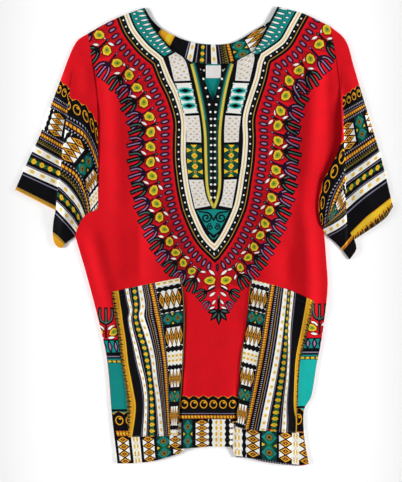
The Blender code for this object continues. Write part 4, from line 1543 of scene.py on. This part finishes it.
SLEEVES = {
    "sleeve_left": Sleeve(
        edges=[ARMHOLE_LEFT, UNDERARM_LEFT, SLEEVE_LEFT_UNDER[::-1], SLEEVE_LEFT_TIP[::-1]]
        + [SLEEVE_LEFT_FOLD[::-1], SLEEVE_LEFT_HEM[::-1], SLEEVE_LEFT_OUTER[::-1]],
        closed=[UNDERARM_LEFT, SLEEVE_LEFT_UNDER, SLEEVE_LEFT_FOLD, SLEEVE_LEFT_OUTER],
        hems=[SLEEVE_LEFT_HEM, SLEEVE_LEFT_TIP],
        ridges=SLEEVE_LEFT_RIDGES + SLEEVE_LEFT_CREASES,
        pleats=SLEEVE_LEFT_PLEATS,
        crease=[(-228, 100), (-259, 355), (-290, 450)],
        outer=Zone(SLEEVE_LEFT_OUTER_RUNGS, BORDER + HEM_LEFT_ENDING, ROWS_LEFT_OUTER),
        inner=Zone(SLEEVE_LEFT_INNER_RUNGS, BORDER + HEM_LEFT_ENDING, ROWS_LEFT_INNER),
    ),
    "sleeve_right": Sleeve(
        edges=[ARMHOLE_RIGHT, SLEEVE_RIGHT_UNDER[::-1], SLEEVE_RIGHT_TIP[::-1]]
        + [SLEEVE_RIGHT_HEM[::-1], SLEEVE_RIGHT_OUTER[::-1]],
        closed=[SLEEVE_RIGHT_UNDER, SLEEVE_RIGHT_OUTER],
        hems=[SLEEVE_RIGHT_HEM, SLEEVE_RIGHT_TIP],
        ridges=SLEEVE_RIGHT_RIDGES,
        pleats=SLEEVE_RIGHT_PLEATS,
        crease=[(239, 100), (249, 385), (262, 407), (290, 460)],
        outer=Zone(SLEEVE_RIGHT_OUTER_RUNGS, BORDER + HEM_RIGHT_ENDING, ROWS_RIGHT_OUTER),
        inner=Zone(SLEEVE_RIGHT_INNER_RUNGS, TIP_RIGHT, ROWS_RIGHT_INNER),
    ),
}


def make_sleeve(name, material):
    """A sleeve laid flat, with its border in two zones and its pleat."""
    sleeve = SLEEVES[name]
    height = sleeve_top(sleeve.closed, sleeve.hems, sleeve.ridges, sleeve.pleats)
    cloth = sleeve_print(sleeve.crease, sleeve.outer, sleeve.inner)
    ring = outline(sleeve.edges)
    lines = pleat_edges(sleeve.pleats)
    piece = make_tube(name + "_cloth", name, ring, cloth, height, sleeve.closed, lines)
    piece.data.materials.append(material)
    return piece


def make_stitches(name, seams, height, material):
    """Short raised threads in rows, each row beside its line by its inset."""
    spread = []
    for seam in seams:
        line = beside(smooth_line(seam.line, 3), seam.inset)
        along = lengths_along(line)
        for start in np.arange(STITCH_PITCH, along[-1] - STITCH_PITCH, STITCH_PITCH):
            ends = np.array([start, start + STITCH_LENGTH])
            spots = np.column_stack([np.interp(ends, along, column) for column in line.T])
            run = (spots[1] - spots[0]) / STITCH_LENGTH
            side = np.array([-run[1], run[0]]) * STITCH_WIDTH / 2
            foot = np.vstack([spots[0] - side, spots[0] + side, spots[1] + side, spots[1] - side])
            spread += [*foot, spots[0] + run * 0.5, spots[1] - run * 0.5]
    spread = np.array(spread)
    count = len(spread) // 6
    lift = np.tile([-STITCH_SINK] * 4 + [STITCH_RISE] * 2, count)
    corners = placed(spread, height(spread) + lift)
    faces = [[6 * number + i for i in face] for number in range(count) for face in STITCH_FACES]
    mesh = bpy.data.meshes.new(name)
    mesh.from_pydata((corners * MM).tolist(), [], faces)
    mesh.shade_smooth()
    mesh.materials.append(material)
    piece = bpy.data.objects.new(name, mesh)
    bpy.context.scene.collection.objects.link(piece)
    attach(piece, "root")
    return piece


def make_label(material):
    """A bare woven label with plain selvedges."""
    across, down = LABEL_CENTRE
    wide, high = LABEL_SIZE
    left, right = across - wide / 2, across + wide / 2
    top, bottom = down - high / 2, down + high / 2
    corners = [(left, top), (right, top), (right, bottom), (left, bottom)]
    ring = outline([[start, end] for start, end in zip(corners, corners[1:] + corners[:1])])
    cloth = Print("linen")
    for edge in (left + SELVEDGE, right - SELVEDGE):
        cloth.stroke("white", [(edge, top - 1), (edge, bottom + 1)], SELVEDGE_WIDTH)
    height = level(LAYER_TOP)
    label = make_sheet("label_sheet", "label", ring, cloth, height, TRIM_WALL, step=LABEL_STEP)
    label.data.materials.append(material)
    return label


def make_facing(material):
    """The strip of border print inside the back of the neck."""
    neck = smooth_line(NECK_BACK, 5)
    run = np.gradient(neck, axis=0)
    run /= np.hypot(*run.T)[:, None]
    below = neck + FACING_WIDTH * np.column_stack([-run[:, 1], run[:, 0]])
    ring = np.vstack([neck, below[::-1]])
    cloth = Print("black", pitch=0.85)
    columns = read_bands(
        "black 46, gold 26, black 24, grey 5, white_gold 8, black 3, grey 4, black 2, beads 8, grey 4,"
        "black 5, white_gold 8, black 3, grey 3, olive 11, braid 7, ovals 26, lozenges 40, scallop 12,"
        "white_rows 28"
    )
    patch = Patch([0, FACING_WIDTH], [resampled(neck, CURVE_POINTS), resampled(below, CURVE_POINTS)])
    cloth.block(Area(patch, 0, patch.length, 0, FACING_WIDTH), columns)
    height = level(LAYER_TOP)
    facing = make_sheet("facing_cloth", "neck_facing", ring, cloth, height, TRIM_WALL)
    facing.data.materials.append(material)
    return facing


def make_sewing(thread):
    """Rows of stitches on the front, the pockets and the facing, by the piece that they hold."""
    seams = [Seam(edge, HEM_WIDTH) for edge in (HEM_LEFT, HEM_MIDDLE, HEM_RIGHT)]
    seams += [Seam(edge, -NECK_INSET) for edge in (NECK_FRONT_LEFT, NECK_FRONT_RIGHT)]
    made = {"front": make_stitches("front_stitches", seams, front_top, thread)}
    for name, edges in (("pocket_left", POCKET_LEFT), ("pocket_right", POCKET_RIGHT)):
        seams = [Seam(edge, -POCKET_INSET) for edge in edges[1:]] + [Seam(edges[0], -POCKET_TURN)]
        height = pocket_top(outline(edges))
        made[name] = make_stitches(name + "_stitches", seams, height, thread)
    seams = [Seam(NECK_BACK, FACING_INSET - FACING_WIDTH)]
    height = level(LAYER_TOP)
    made["facing"] = make_stitches("facing_stitches", seams, height, thread)
    return made


def main():
    """Builds the scene."""
    make_camera()
    make_floor()
    make_lights()
    cotton = cloth_material("printed_cotton", 0.7, 0.82, 0.10)
    trim = cloth_material("border_cotton", 0.7, 0.8, 0.12)
    satin = cloth_material("label_satin", 0.4, 0.5, 0.06)
    thread = thread_material()
    back = make_back(cotton)
    front = make_front(cotton)
    left_pocket = make_pocket("pocket_left", POCKET_LEFT, POCKET_LEFT_RUNGS, trim)
    right_pocket = make_pocket("pocket_right", POCKET_RIGHT, POCKET_RIGHT_RUNGS, trim)
    left_sleeve = make_sleeve("sleeve_left", trim)
    right_sleeve = make_sleeve("sleeve_right", trim)
    facing = make_facing(trim)
    label = make_label(satin)
    sewing = make_sewing(thread)


main()
